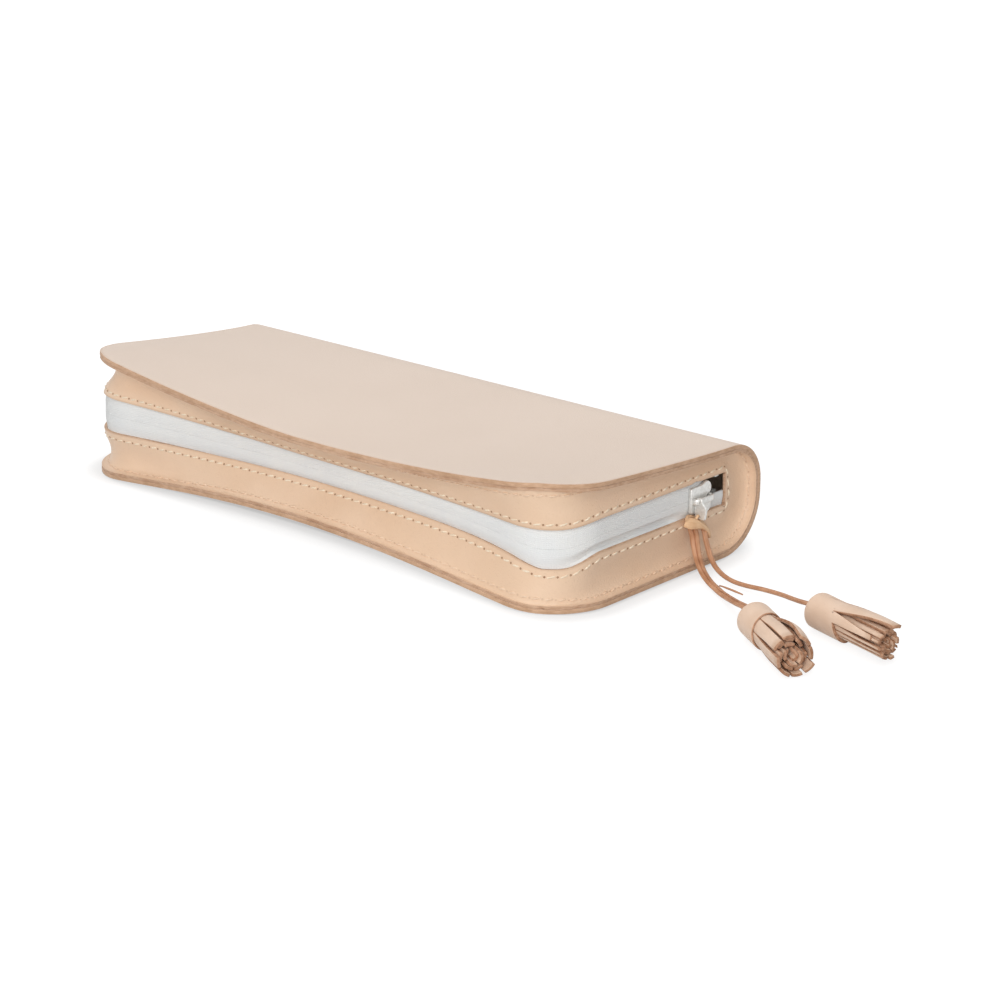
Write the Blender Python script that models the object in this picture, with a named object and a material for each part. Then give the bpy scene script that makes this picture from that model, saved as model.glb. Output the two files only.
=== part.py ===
# Zip pen case of natural leather. One leather is folded round the back into a bottom, a spine and
# a top. A moulded leather gusset closes the other three sides, and a white zip runs round its slot.
# Lengths are in metres. +X runs to the end where the slider stands, +Y to the spine, +Z up.
# The origin is on the ground under the middle of the case.

import math

import bpy
import bmesh
from mathutils import Matrix, Vector

# Case
CASE_LENGTH = 0.200
CASE_DEPTH = 0.087
CORNER_RADIUS = 0.020
BACK_HEIGHT = 0.0323
FRONT_HEIGHT_LEFT = 0.0398
FRONT_HEIGHT_MIDDLE = 0.0312
FRONT_HEIGHT_RIGHT = 0.0368
FRONT_RISE = 0.0058  # how far the bottom's front edge lifts off the ground at the middle
FLAT_BASE_EDGE = -0.003  # y in front of which the bottom starts to lift
UPPER_BEND = 0.0126
LOWER_BEND = 0.0160
SEAM_SHARE = 0.576  # share of the back's height at which the spine folds and its halves part
GAP = 0.0003
SWAY_POWER_LEFT = 1.5  # how the front height swells towards each end
SWAY_POWER_RIGHT = 2.2
SLOPE_POWER = 1.35  # how the lid runs from the spine's height to the front's
RISE_POWER = 1.4
LEAN = 0.0032  # the front left corner leans in by this much from the ground to the lid
LEAN_HEIGHT = 0.016  # the height at which the lean moves nothing
LEAN_POWER = 4

# Leather and tape
WRAP_THICKNESS = 0.0020
GUSSET_THICKNESS = 0.0015
TAPE_THICKNESS = 0.0006

# Slot of the gusset
SLOT_END = 0.030  # y where the slot ends, on both short sides
SLOT_RISE_SIDE = 0.0010  # how far the slot's middle lies over the fold line at its ends
SLOT_RISE_LEFT = 0.0014
SLOT_RISE_FRONT = 0.0008
SLOT_RISE_RIGHT = -0.0013
SLOT_HALF_SIDE = 0.0047
SLOT_HALF_LEFT = 0.0056
SLOT_HALF_FRONT = 0.0031
SLOT_HALF_RIGHT = 0.0056
SLOT_POWER_LEFT = 1.2
SLOT_POWER_RIGHT = 6.0
SLOT_INSET_LEFT = 0.0014  # how far the slot's edge stands inside the rim
SLOT_INSET_FRONT = 0.0086
SLOT_INSET_RIGHT = 0.0026
WAIST_INSET_LEFT = 0.0048  # how far the gusset's valley stands inside the rim
WAIST_INSET_FRONT = 0.0102
WAIST_INSET_RIGHT = 0.0056
INSET_POWER = 2
# rows of the gusset from rim to slot edge: share of the valley, share of the slot edge, height share
GUSSET_ROW_SHARES = (
    (0.00, 0.00, 0.00),
    (0.42, 0.00, 0.02),
    (0.78, 0.00, 0.09),
    (0.97, 0.00, 0.24),
    (0.98, 0.02, 0.44),
    (0.68, 0.32, 0.64),
    (0.24, 0.76, 0.83),
    (0.00, 1.00, 1.00),
)

# Zip
CHAIN_SLIT = 0.0010  # gap between the two tapes, which the slider's post rides in
TAPE_BULGE = 0.0006  # how far the tape's middle stands behind the slot's edge
TAPE_ROWS = (5, 6, 7)  # gusset rows that the tape's hidden margin follows
TAPE_SHARES = (0.45, 0.80, 1.00)  # places of its other rows between the slot's edge and the slit
COIL_WIDTH = 0.0022
COIL_THICKNESS = 0.0018
COIL_BACK = 0.0021  # from the slot's edge line in to the face of the coil
STOP_LENGTH = 0.0018
STOP_THICKNESS = 0.0022
STOP_CLEARANCE = 0.0014  # from a stop to the end of the slot
TAPE_END_CLEARANCE = 0.0010
COIL_END_CLEARANCE = 0.0036  # the chain ends this far before the end of the slot

# Thread
THREAD_RADIUS = 0.00035
SLOT_THREAD_INSET = 0.0014  # from the slot's edge to the row of stitches
RIM_THREAD_INSET = 0.0030  # from the rim to the row of stitches

# Slider
SLIDER_LENGTH = 0.0106
SLIDER_START = 0.0139  # y of the end that faces the closed chain
SHOULDER_HALF = 0.0041
TAIL_HALF = 0.0037
PLATE_THICKNESS = 0.0011
INNER_PLATE_THICKNESS = 0.0009
FLANGE_THICKNESS = 0.0007
FLANGE_REACH = 0.0022
POST_HALF = 0.0003
POST_LENGTH = 0.0030
SHOULDER_SHARE = 0.40  # share of the length that the wide shoulder takes
BRIDGE_START = 0.0006  # from the tail to the bridge's first foot
BRIDGE_LENGTH = 0.0078
BRIDGE_FOOT = 0.0011
BRIDGE_OPENING = 0.00115
BRIDGE_BAR = 0.0009
BRIDGE_HALF_WIDTH = 0.00055
SINK = 0.0002  # how far joined shapes run into each other

# Pull tab, which hangs from the bridge with its flat faces along the case
TAB_THICKNESS = 0.0009
TAB_SIDE_CLEARANCE = 0.0004  # to the bridge's foot
TAB_CLEARANCE = 0.00025
TAB_RING = 0.00065
TAB_WIDTH = 0.00395
TAB_DROP = 0.0064  # from the bridge's bar to the bottom end
TAB_NECK_DROP = 0.0016
TAB_EYE_DROP = 0.0014
TAB_HOLE_DROP = 0.0048
TAB_HOLE_RADIUS = 0.00095

# Lace and tassels
LACE_RADIUS = 0.00095
HITCH_RADIUS = 0.0007
TAG_RADIUS = 0.0004
LEFT_LACE_ROUTE = (
    (0.0992, 0.0143, 0.0100),
    (0.0995, 0.0143, 0.0084),
    (0.1001, 0.0140, 0.0067),
    (0.1011, 0.0133, 0.0051),
    (0.1026, 0.0121, 0.0040),
    (0.1044, 0.0106, 0.0032),
    (0.1065, 0.0089, 0.0026),
    (0.1092, 0.0070, 0.0020),
    (0.1121, 0.0053, 0.0015),
    (0.1152, 0.0037, 0.0012),
    (0.1186, 0.0017, 0.0012),
    (0.1222, -0.0008, 0.0016),
    (0.1260, -0.0038, 0.0022),
    (0.1313, -0.0080, 0.0033),
    (0.1366, -0.0118, 0.0045),
    (0.1400, -0.0141, 0.0049),
    (0.14233, -0.01554, 0.0049),
)
RIGHT_LACE_ROUTE = (
    (0.1002, 0.0177, 0.0100),
    (0.1004, 0.0179, 0.0084),
    (0.1008, 0.0181, 0.0067),
    (0.1015, 0.0180, 0.0051),
    (0.1028, 0.0172, 0.0038),
    (0.1046, 0.0159, 0.0030),
    (0.1068, 0.0145, 0.0023),
    (0.1096, 0.0131, 0.0017),
    (0.1128, 0.0119, 0.0013),
    (0.1164, 0.0110, 0.0012),
    (0.1208, 0.0105, 0.0012),
    (0.1263, 0.0101, 0.0014),
    (0.1330, 0.0087, 0.0020),
    (0.1387, 0.0062, 0.0029),
    (0.1427, 0.0040, 0.0038),
    (0.1464, 0.0023, 0.0046),
    (0.1493, 0.00145, 0.0049),
    (0.15116, 0.00095, 0.0049),
)
TAG_ROUTE = (
    (0.1145, 0.0060, 0.0012),
    (0.1155, 0.0063, 0.0011),
    (0.1167, 0.0065, 0.0009),
    (0.1181, 0.0065, 0.0008),
    (0.1196, 0.0064, 0.0007),
    (0.1212, 0.0061, 0.0007),
    (0.1227, 0.0058, 0.0007),
)
ROUTE_PARTS = 8  # points of the smooth curve between two points of a route
HITCH_DROP = 0.0037  # from the pull's hole down to the end of the hitch
LACE_CLEARANCE = 0.0011  # from the hitch down to the first points of the laces
HITCH_HALF_DEPTH = 0.0026
TASSEL_RADIUS = 0.0049
TASSEL_EDGE = 0.0007
CAP_WALL = 0.0013
FRINGE_STRIPS = 11
FRINGE_FLARE = 0.0009
FRINGE_GROOVE = 0.0013
FRINGE_TIP_CLEARANCE = 0.0004  # the fringe's lowest strips stay this far above the ground
MOUTH_SHARE = 0.8  # share of the cap's length at which the strips begin to part
SPREAD_SHARES = (1 / 3, 2 / 3)  # places of the fringe's sections between the cap and the tips
# across one strip: share of its width, and 1 where the groove beside it is
STRIP_SHARES = ((0.12, 0), (0.50, 0), (0.88, 0), (1.00, 1))
# name, start of the cap on its axis, heading in degrees, cap length, whole length
TASSELS = (
    ("tassel_left", (0.14257, -0.01571), -32.2, 0.0108, 0.0262),
    ("tassel_right", (0.15145, 0.00086), -16.8, 0.0105, 0.0268),
)

# Meshes
SHARP_ANGLE = 40  # degrees
CORNER_STEPS = 6
FRONT_STEPS = 16
SIDE_STEPS = 6
FAN_STEPS = 6
TOP_STEPS = 7
BEND_STEPS = 6

LEATHER = ("leather", (0.77, 0.63, 0.50), 0.55, 0.0)
LEATHER_INNER = ("leather_gusset", (0.75, 0.55, 0.40), 0.6, 0.0)
TAPE = ("zip_tape", (0.75, 0.75, 0.72), 0.8, 0.0)
NYLON = ("zip_coil", (0.80, 0.80, 0.77), 0.45, 0.0)
THREAD = ("thread", (0.80, 0.70, 0.57), 0.7, 0.0)
METAL = ("metal", (0.72, 0.71, 0.68), 0.3, 1.0)
LACE = ("lace", (0.45, 0.24, 0.13), 0.6, 0.0)

HALF_LENGTH = CASE_LENGTH / 2
HALF_DEPTH = CASE_DEPTH / 2
SEAM_HEIGHT = BACK_HEIGHT * SEAM_SHARE
SLOT_MIDDLE_SIDE = SEAM_HEIGHT + SLOT_RISE_SIDE
SLOT_MIDDLE_LEFT = SEAM_HEIGHT + SLOT_RISE_LEFT
SLOT_MIDDLE_FRONT = SEAM_HEIGHT + SLOT_RISE_FRONT
SLOT_MIDDLE_RIGHT = SEAM_HEIGHT + SLOT_RISE_RIGHT
UPPER_FOLD = min(UPPER_BEND, BACK_HEIGHT - SEAM_HEIGHT - GAP)  # each bend ends before the fold line
LOWER_FOLD = min(LOWER_BEND, SEAM_HEIGHT - GAP)
FOLD_START = HALF_DEPTH - UPPER_FOLD
CORNER_X = HALF_LENGTH - CORNER_RADIUS
CORNER_Y = CORNER_RADIUS - HALF_DEPTH


def clear_scene():
    for obj in list(bpy.data.objects):
        bpy.data.objects.remove(obj)


def material(look):
    name, colour, roughness, metallic = look
    made = bpy.data.materials.get(name)
    if made is None:
        made = bpy.data.materials.new(name)
        made.use_nodes = True
        shader = made.node_tree.nodes["Principled BSDF"]
        shader.inputs["Base Color"].default_value = (*colour, 1.0)
        shader.inputs["Roughness"].default_value = roughness
        shader.inputs["Metallic"].default_value = metallic
        made.diffuse_color = (*colour, 1.0)
    return made


def add_object(name, bm, look):
    """Turn a bmesh into the object of one sub-part."""
    bmesh.ops.recalc_face_normals(bm, faces=bm.faces)
    mesh = bpy.data.meshes.new(name)
    bm.to_mesh(mesh)
    bm.free()
    mesh.shade_smooth()
    mesh.set_sharp_from_angle(angle=math.radians(SHARP_ANGLE))
    mesh.materials.append(material(look))
    obj = bpy.data.objects.new(name, mesh)
    bpy.context.collection.objects.link(obj)
    return obj


# Shape of the covers


def clamp(value, low=0.0, high=1.0):
    return max(low, min(high, value))


def ease(value):
    value = clamp(value)
    return value * value * (3 - 2 * value)


def swell(along, left, middle, right, left_power, right_power):
    """A size that goes from its value at the middle of the front to the values at the two ends."""
    if along < 0:
        return middle + (left - middle) * (-along) ** left_power
    return middle + (right - middle) * along**right_power


def along_share(x):
    return clamp(x / (HALF_LENGTH - CORNER_RADIUS / 2), -1.0, 1.0)


def front_share(y):
    """How far a place lies from the spine's bend towards the front edge."""
    return clamp((FOLD_START - y) / (FOLD_START + HALF_DEPTH))


def lean(point):
    """The front left corner leans: the lid is drawn in there and the bottom spreads."""
    weight = clamp(-point.x / HALF_LENGTH) ** LEAN_POWER * front_share(point.y)
    shift = LEAN * weight * (point.z - LEAN_HEIGHT) / FRONT_HEIGHT_LEFT
    return Vector((point.x + shift, point.y, point.z))


def top_height(x, y):
    height = swell(
        along_share(x),
        FRONT_HEIGHT_LEFT,
        FRONT_HEIGHT_MIDDLE,
        FRONT_HEIGHT_RIGHT,
        SWAY_POWER_LEFT,
        SWAY_POWER_RIGHT,
    )
    return BACK_HEIGHT + (height - BACK_HEIGHT) * front_share(y) ** SLOPE_POWER


def base_height(x, y):
    lift = ease((FLAT_BASE_EDGE - y) / (FLAT_BASE_EDGE + HALF_DEPTH))
    return FRONT_RISE * (1 - along_share(x) ** 2) ** RISE_POWER * lift


def bend_point(bend, depth_in, angle, upper):
    """A point of the spine's bend, depth_in inside its outer face."""
    radius = bend - depth_in
    y = HALF_DEPTH - bend + radius * math.sin(angle)
    if upper:
        return y, BACK_HEIGHT - bend + radius * math.cos(angle)
    return y, bend - radius * math.cos(angle)


def cover_line(x, depth_in, upper):
    """Outline of one cover half at x, from its front edge round the bend to the seam."""
    if abs(x) > CORNER_X:
        reach = math.sqrt(max(CORNER_RADIUS**2 - (abs(x) - CORNER_X) ** 2, 0.0))
        front = CORNER_Y - reach
    else:
        front = -HALF_DEPTH
    bend = UPPER_FOLD if upper else LOWER_FOLD
    height = top_height if upper else base_height
    inwards = -depth_in if upper else depth_in
    line = []
    back = HALF_DEPTH - bend
    for step in range(TOP_STEPS + 1):
        y = front + (back - front) * step / TOP_STEPS
        line.append(Vector((x, y, height(x, y) + inwards)))
    for step in range(1, BEND_STEPS + 1):
        y, z = bend_point(bend, depth_in, math.pi / 2 * step / BEND_STEPS, upper)
        line.append(Vector((x, y, z)))
    seam = SEAM_HEIGHT + GAP / 2 if upper else SEAM_HEIGHT - GAP / 2
    line.append(Vector((x, HALF_DEPTH - depth_in, seam)))
    return line


def cover_stations():
    corner = [
        CORNER_X + CORNER_RADIUS * math.sin(math.pi / 2 * step / CORNER_STEPS)
        for step in range(CORNER_STEPS, 0, -1)
    ]
    middle = [
        CORNER_X - 2 * CORNER_X * step / FRONT_STEPS for step in range(FRONT_STEPS + 1)
    ]
    return [-x for x in corner] + middle[::-1] + corner[::-1]


def sheet(name, outer, inner, look):
    """A closed sheet between two grids of points of the same size."""
    bm = bmesh.new()
    tops = [[bm.verts.new(lean(point)) for point in line] for line in outer]
    backs = [[bm.verts.new(lean(point)) for point in line] for line in inner]
    lines = len(outer)
    rows = len(outer[0])
    for i in range(lines - 1):
        for j in range(rows - 1):
            bm.faces.new((tops[i][j], tops[i + 1][j], tops[i + 1][j + 1], tops[i][j + 1]))
            bm.faces.new((backs[i][j], backs[i][j + 1], backs[i + 1][j + 1], backs[i + 1][j]))
    for i in range(lines - 1):
        for j in (0, rows - 1):
            bm.faces.new((tops[i][j], backs[i][j], backs[i + 1][j], tops[i + 1][j]))
    for j in range(rows - 1):
        for i in (0, lines - 1):
            bm.faces.new((tops[i][j], tops[i][j + 1], backs[i][j + 1], backs[i][j]))
    return add_object(name, bm, look)


def cover(name, upper):
    outer = []
    inner = []
    for x in cover_stations():
        outer.append(cover_line(x, 0.0, upper))
        inner.append(cover_line(x, WRAP_THICKNESS, upper))
    return sheet(name, outer, inner, LEATHER)


# Shape of the gusset, the zip and the rows of stitches


def rim_stations():
    """Plan points of the rim with their outward normals, from the left slot end round the front."""
    sides = [
        SLOT_END - (SLOT_END - CORNER_Y) * step / SIDE_STEPS for step in range(SIDE_STEPS)
    ]
    right = [(HALF_LENGTH, y, 1.0, 0.0) for y in sides]
    for step in range(CORNER_STEPS):
        angle = math.pi / 2 * step / CORNER_STEPS
        nx = math.cos(angle)
        ny = -math.sin(angle)
        right.append((CORNER_X + CORNER_RADIUS * nx, CORNER_Y + CORNER_RADIUS * ny, nx, ny))
    front = [
        (-CORNER_X + 2 * CORNER_X * step / FRONT_STEPS, -HALF_DEPTH, 0.0, -1.0)
        for step in range(FRONT_STEPS + 1)
    ]
    left = [(-x, y, -nx, ny) for x, y, nx, ny in right]
    return left + front + right[::-1]


def slot_sizes(x, y):
    """Middle height, half height, slot inset and valley inset of the gusset at a rim point."""
    along = along_share(x)
    turn = ease((CORNER_Y - y) / (CORNER_RADIUS * math.sin(math.pi / 4)))
    powers = (SLOT_POWER_LEFT, SLOT_POWER_RIGHT)
    middle = swell(along, SLOT_MIDDLE_LEFT, SLOT_MIDDLE_FRONT, SLOT_MIDDLE_RIGHT, *powers)
    half = swell(along, SLOT_HALF_LEFT, SLOT_HALF_FRONT, SLOT_HALF_RIGHT, *powers)
    middle = SLOT_MIDDLE_SIDE + (middle - SLOT_MIDDLE_SIDE) * turn
    half = SLOT_HALF_SIDE + (half - SLOT_HALF_SIDE) * turn
    powers = (INSET_POWER, INSET_POWER)
    slot = swell(along, SLOT_INSET_LEFT, SLOT_INSET_FRONT, SLOT_INSET_RIGHT, *powers)
    waist = swell(along, WAIST_INSET_LEFT, WAIST_INSET_FRONT, WAIST_INSET_RIGHT, *powers)
    return middle, half, slot, waist


def gusset_reach(x, y, upper):
    """Height of a gusset section, from the cover's inner face to the slot's edge."""
    middle, half, _, _ = slot_sizes(x, y)
    if upper:
        return top_height(x, y) - WRAP_THICKNESS - GAP - middle - half
    return middle - half - base_height(x, y) - WRAP_THICKNESS - GAP


def gusset_profile(station, upper, offset):
    """Points of one gusset section as (inset, height share), offset outwards along its own normal."""
    x, y = station[0], station[1]
    _, _, slot, waist = slot_sizes(x, y)
    reach = gusset_reach(x, y, upper)
    centre = []
    for waist_share, edge_share, height_share in GUSSET_ROW_SHARES:
        inset = waist_share * waist + edge_share * slot
        rise = GUSSET_THICKNESS / 2 + height_share * (reach - GUSSET_THICKNESS / 2)
        centre.append((inset, rise))
    moved = []
    for row, (inset, rise) in enumerate(centre):
        before = centre[max(row - 1, 0)]
        after = centre[min(row + 1, len(centre) - 1)]
        run = (after[0] - before[0], after[1] - before[1])
        if row == 0:
            run = (1.0, 0.0)
        length = math.hypot(*run)
        moved.append((inset - offset * run[1] / length, (rise + offset * run[0] / length) / reach))
    return moved


def place(station, fan, inset, height_share, upper):
    """World point of the gusset at an inset and a height share. A fan station ends at the slot's end."""
    x, y, nx, ny = station
    middle, half, _, _ = slot_sizes(x, y)
    edge = middle + half if upper else middle - half
    depth_in = WRAP_THICKNESS + GAP
    if fan is None:
        px = x - nx * inset
        py = y - ny * inset
        if upper:
            cover_z = top_height(px, py) - depth_in
        else:
            cover_z = base_height(px, py) + depth_in
        return Vector((px, py, cover_z + (edge - cover_z) * height_share))
    bend = UPPER_FOLD if upper else LOWER_FOLD
    seam = SEAM_HEIGHT + GAP / 2 if upper else SEAM_HEIGHT - GAP / 2
    back = HALF_DEPTH - bend
    if fan < FAN_STEPS:
        # the foot of the section walks along the cover's inner face and round its bend
        first = math.asin(clamp((SLOT_END - back) / (bend - depth_in)))
        angle = first + (math.pi / 2 - first) * fan / (FAN_STEPS - 1)
        foot = bend_point(bend, depth_in, angle, upper)
    if fan == FAN_STEPS:
        foot = (HALF_DEPTH - depth_in, seam)
    tip = (SLOT_END, edge + (seam - edge) * fan / FAN_STEPS)
    py = foot[0] + (tip[0] - foot[0]) * height_share
    pz = foot[1] + (tip[1] - foot[1]) * height_share
    return Vector((x - nx * inset, py, pz))


def section_list():
    """Stations with their fan number: the fans close both ends of the gusset beyond the slot."""
    stations = rim_stations()
    first = stations[0]
    last = stations[-1]
    left = [(first, fan) for fan in range(FAN_STEPS, 0, -1)]
    right = [(last, fan) for fan in range(1, FAN_STEPS + 1)]
    return left + [(station, None) for station in stations] + right


def gusset_face(upper, offset):
    grid = []
    for station, fan in section_list():
        profile = gusset_profile(station, upper, offset)
        grid.append([place(station, fan, inset, share, upper) for inset, share in profile])
    return grid


def gusset(name, upper):
    half = GUSSET_THICKNESS / 2
    return sheet(name, gusset_face(upper, half), gusset_face(upper, -half), LEATHER_INNER)


def chain_stations():
    """Stations of the tape and the chain, which stay just inside the slot's ends."""
    stations = [list(station) for station in rim_stations()]
    stations[0][1] = SLOT_END - TAPE_END_CLEARANCE
    stations[-1][1] = SLOT_END - TAPE_END_CLEARANCE
    return stations


def tape(name, upper):
    """One half of the zip's tape: a hidden margin behind the gusset, then the part that shows."""
    outer = []
    inner = []
    half_tape = TAPE_THICKNESS / 2
    hidden = GUSSET_THICKNESS / 2 + GAP + half_tape
    for station in chain_stations():
        x, y, nx, ny = station
        middle, half, slot, _ = slot_sizes(x, y)
        facing = 1 if upper else -1
        for grid, shift in ((outer, half_tape), (inner, -half_tape)):
            profile = gusset_profile(station, upper, shift - hidden)
            line = [place(station, None, *profile[row], upper) for row in TAPE_ROWS]
            edge = profile[TAPE_ROWS[-1]][0]
            front = slot + TAPE_BULGE - shift
            for share in TAPE_SHARES:
                inset = edge + (front - edge) * ease(share)
                rise = half + (CHAIN_SLIT / 2 - half) * share
                line.append(Vector((x - nx * inset, y - ny * inset, middle + facing * rise)))
            grid.append(line)
    return sheet(name, outer, inner, TAPE)


def loft(name, rings, look):
    """A closed solid through rings of points, with a face on each end."""
    bm = bmesh.new()
    made = [[bm.verts.new(point) for point in ring] for ring in rings]
    count = len(rings[0])
    for a, b in zip(made, made[1:]):
        for i in range(count):
            j = (i + 1) % count
            bm.faces.new((a[i], a[j], b[j], b[i]))
    bm.faces.new(made[0])
    bm.faces.new(made[-1][::-1])
    return add_object(name, bm, look)


def coil(name, upper):
    """One half of the chain, hidden behind the tapes."""
    rings = []
    facing = 1 if upper else -1
    stations = chain_stations()
    stations[0][1] = SLOT_END - COIL_END_CLEARANCE
    stations[-1][1] = SLOT_END - COIL_END_CLEARANCE
    for x, y, nx, ny in stations:
        middle, _, slot, _ = slot_sizes(x, y)
        near = slot + COIL_BACK
        far = near + COIL_THICKNESS
        low = middle + facing * CHAIN_SLIT / 2
        high = low + facing * COIL_WIDTH
        corners = ((near, low), (far, low), (far, high), (near, high))
        rings.append([lean(Vector((x - nx * n, y - ny * n, z))) for n, z in corners])
    return loft(name, rings, NYLON)


def cord(name, points, radius, look, bevel_resolution=2):
    """A round cord through the points, with closed ends."""
    curve = bpy.data.curves.new(name, "CURVE")
    curve.dimensions = "3D"
    curve.bevel_depth = radius
    curve.bevel_resolution = bevel_resolution
    curve.use_fill_caps = True
    spline = curve.splines.new("POLY")
    spline.points.add(len(points) - 1)
    for target, point in zip(spline.points, points):
        target.co = (*point, 1.0)
    curve.materials.append(material(look))
    obj = bpy.data.objects.new(name, curve)
    bpy.context.collection.objects.link(obj)
    return obj


def walk(profile, reach, distance):
    """The point of a section that lies a distance along it."""
    for (inset_a, share_a), (inset_b, share_b) in zip(profile, profile[1:]):
        step = math.hypot(inset_b - inset_a, (share_b - share_a) * reach)
        if distance <= step:
            part = distance / step
            return inset_a + (inset_b - inset_a) * part, share_a + (share_b - share_a) * part
        distance -= step
    return profile[-1]


def thread(name, upper, from_rim):
    """The unbroken thread of one row of stitches, lying on the gusset's outer face."""
    offset = GUSSET_THICKNESS / 2 + GAP + THREAD_RADIUS
    points = []
    for station, fan in section_list():
        reach = gusset_reach(station[0], station[1], upper)
        profile = gusset_profile(station, upper, offset)
        if from_rim:
            inset, share = walk(profile, reach, RIM_THREAD_INSET)
        else:
            inset, share = walk(profile[::-1], reach, SLOT_THREAD_INSET)
        points.append(lean(place(station, fan, inset, share, upper)))
    for end in (0, -1):
        points[end].z += THREAD_RADIUS if upper else -THREAD_RADIUS
    return cord(name, points, THREAD_RADIUS, THREAD, bevel_resolution=0)


# Small parts of the zip


def box_object(name, low, high, look):
    bm = bmesh.new()
    made = bmesh.ops.create_cube(bm, size=1.0)
    centre = (Vector(low) + Vector(high)) / 2
    size = Vector(high) - Vector(low)
    for vert in made["verts"]:
        vert.co = Vector(a * b for a, b in zip(vert.co, size)) + centre
    return add_object(name, bm, look)


def prism(name, outline, low, high, axis, look):
    """An outline of two coordinates, stretched along the third axis."""
    bm = bmesh.new()

    def point(pair, level):
        values = list(pair)
        values.insert(axis, level)
        return Vector(values)

    near = [bm.verts.new(point(pair, low)) for pair in outline]
    far = [bm.verts.new(point(pair, high)) for pair in outline]
    bm.faces.new(near)
    bm.faces.new(far[::-1])
    for i in range(len(outline)):
        j = (i + 1) % len(outline)
        bm.faces.new((near[i], far[i], far[j], near[j]))
    return add_object(name, bm, look)


def join_shapes(target, others):
    """Union of overlapping shapes into one solid piece."""
    for other in others:
        other.hide_render = True
        other.display_type = "WIRE"
        union = target.modifiers.new("join_" + other.name, "BOOLEAN")
        union.operation = "UNION"
        union.object = other
    return target


def cut_shapes(target, cutters):
    for cutter in cutters:
        cutter.hide_render = True
        cutter.display_type = "WIRE"
        cut = target.modifiers.new("cut_" + cutter.name, "BOOLEAN")
        cut.operation = "DIFFERENCE"
        cut.object = cutter
    return target


def arc(centre, radius, start, end, steps):
    """Points of an arc in a plane, with its angles in degrees."""
    points = []
    for step in range(steps + 1):
        angle = math.radians(start + (end - start) * step / steps)
        points.append((centre[0] + radius * math.cos(angle), centre[1] + radius * math.sin(angle)))
    return points


SIDE_FACE = HALF_LENGTH - SLOT_INSET_RIGHT  # x of the slot's edge on the right end
PLATE_INNER = SIDE_FACE - TAPE_BULGE + TAPE_THICKNESS / 2 + GAP
PLATE_OUTER = PLATE_INNER + PLATE_THICKNESS
COIL_INNER = SIDE_FACE - COIL_BACK - COIL_THICKNESS
BAR_X = PLATE_OUTER + BRIDGE_OPENING + BRIDGE_BAR / 2
SLIDER_END = SLIDER_START + SLIDER_LENGTH
BRIDGE_Y = SLIDER_START + BRIDGE_START
TAB_PLACE = BRIDGE_Y + BRIDGE_FOOT + TAB_SIDE_CLEARANCE + TAB_THICKNESS / 2


def slider_body():
    middle = SLOT_MIDDLE_SIDE
    lobe = SHOULDER_HALF / 2
    shoulder = SLIDER_END - SLIDER_LENGTH * SHOULDER_SHARE
    outline = arc((SLIDER_END - lobe, middle + lobe), lobe, 90, 0, 4)
    outline += arc((SLIDER_END - lobe, middle - lobe), lobe, 0, -90, 4)
    outline += [(shoulder, middle - SHOULDER_HALF), (SLIDER_START, middle - TAIL_HALF)]
    outline += [(SLIDER_START, middle + TAIL_HALF), (shoulder, middle + SHOULDER_HALF)]
    body = prism("slider_body", outline, PLATE_INNER, PLATE_OUTER, 0, METAL)
    inner_back = COIL_INNER - GAP - INNER_PLATE_THICKNESS
    inner_face = COIL_INNER - GAP
    parts = [
        box_object(
            "slider_inner_plate",
            (inner_back, SLIDER_START, middle - TAIL_HALF),
            (inner_face, SLIDER_END, middle + TAIL_HALF),
            METAL,
        ),
        box_object(
            "slider_post",
            (inner_back + SINK, SLIDER_END - POST_LENGTH, middle - POST_HALF),
            (PLATE_INNER + SINK, SLIDER_END, middle + POST_HALF),
            METAL,
        ),
    ]
    for side in (-1, 1):
        edge = middle + side * TAIL_HALF
        wall = edge - side * FLANGE_THICKNESS
        parts.append(
            box_object(
                "slider_flange",
                (inner_face - SINK, SLIDER_START, min(edge, wall)),
                (inner_face + FLANGE_REACH, SLIDER_END, max(edge, wall)),
                METAL,
            )
        )
    start = BRIDGE_Y
    end = start + BRIDGE_LENGTH
    low = middle - BRIDGE_HALF_WIDTH
    high = middle + BRIDGE_HALF_WIDTH
    bar_inner = BAR_X - BRIDGE_BAR / 2
    bar_outer = BAR_X + BRIDGE_BAR / 2
    parts.append(box_object("bridge_bar", (bar_inner, start, low), (bar_outer, end, high), METAL))
    for foot in (start, end - BRIDGE_FOOT):
        parts.append(
            box_object(
                "bridge_foot",
                (PLATE_OUTER - SINK, foot, low),
                (bar_inner + SINK, foot + BRIDGE_FOOT, high),
                METAL,
            )
        )
    join_shapes(body, parts)


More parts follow.
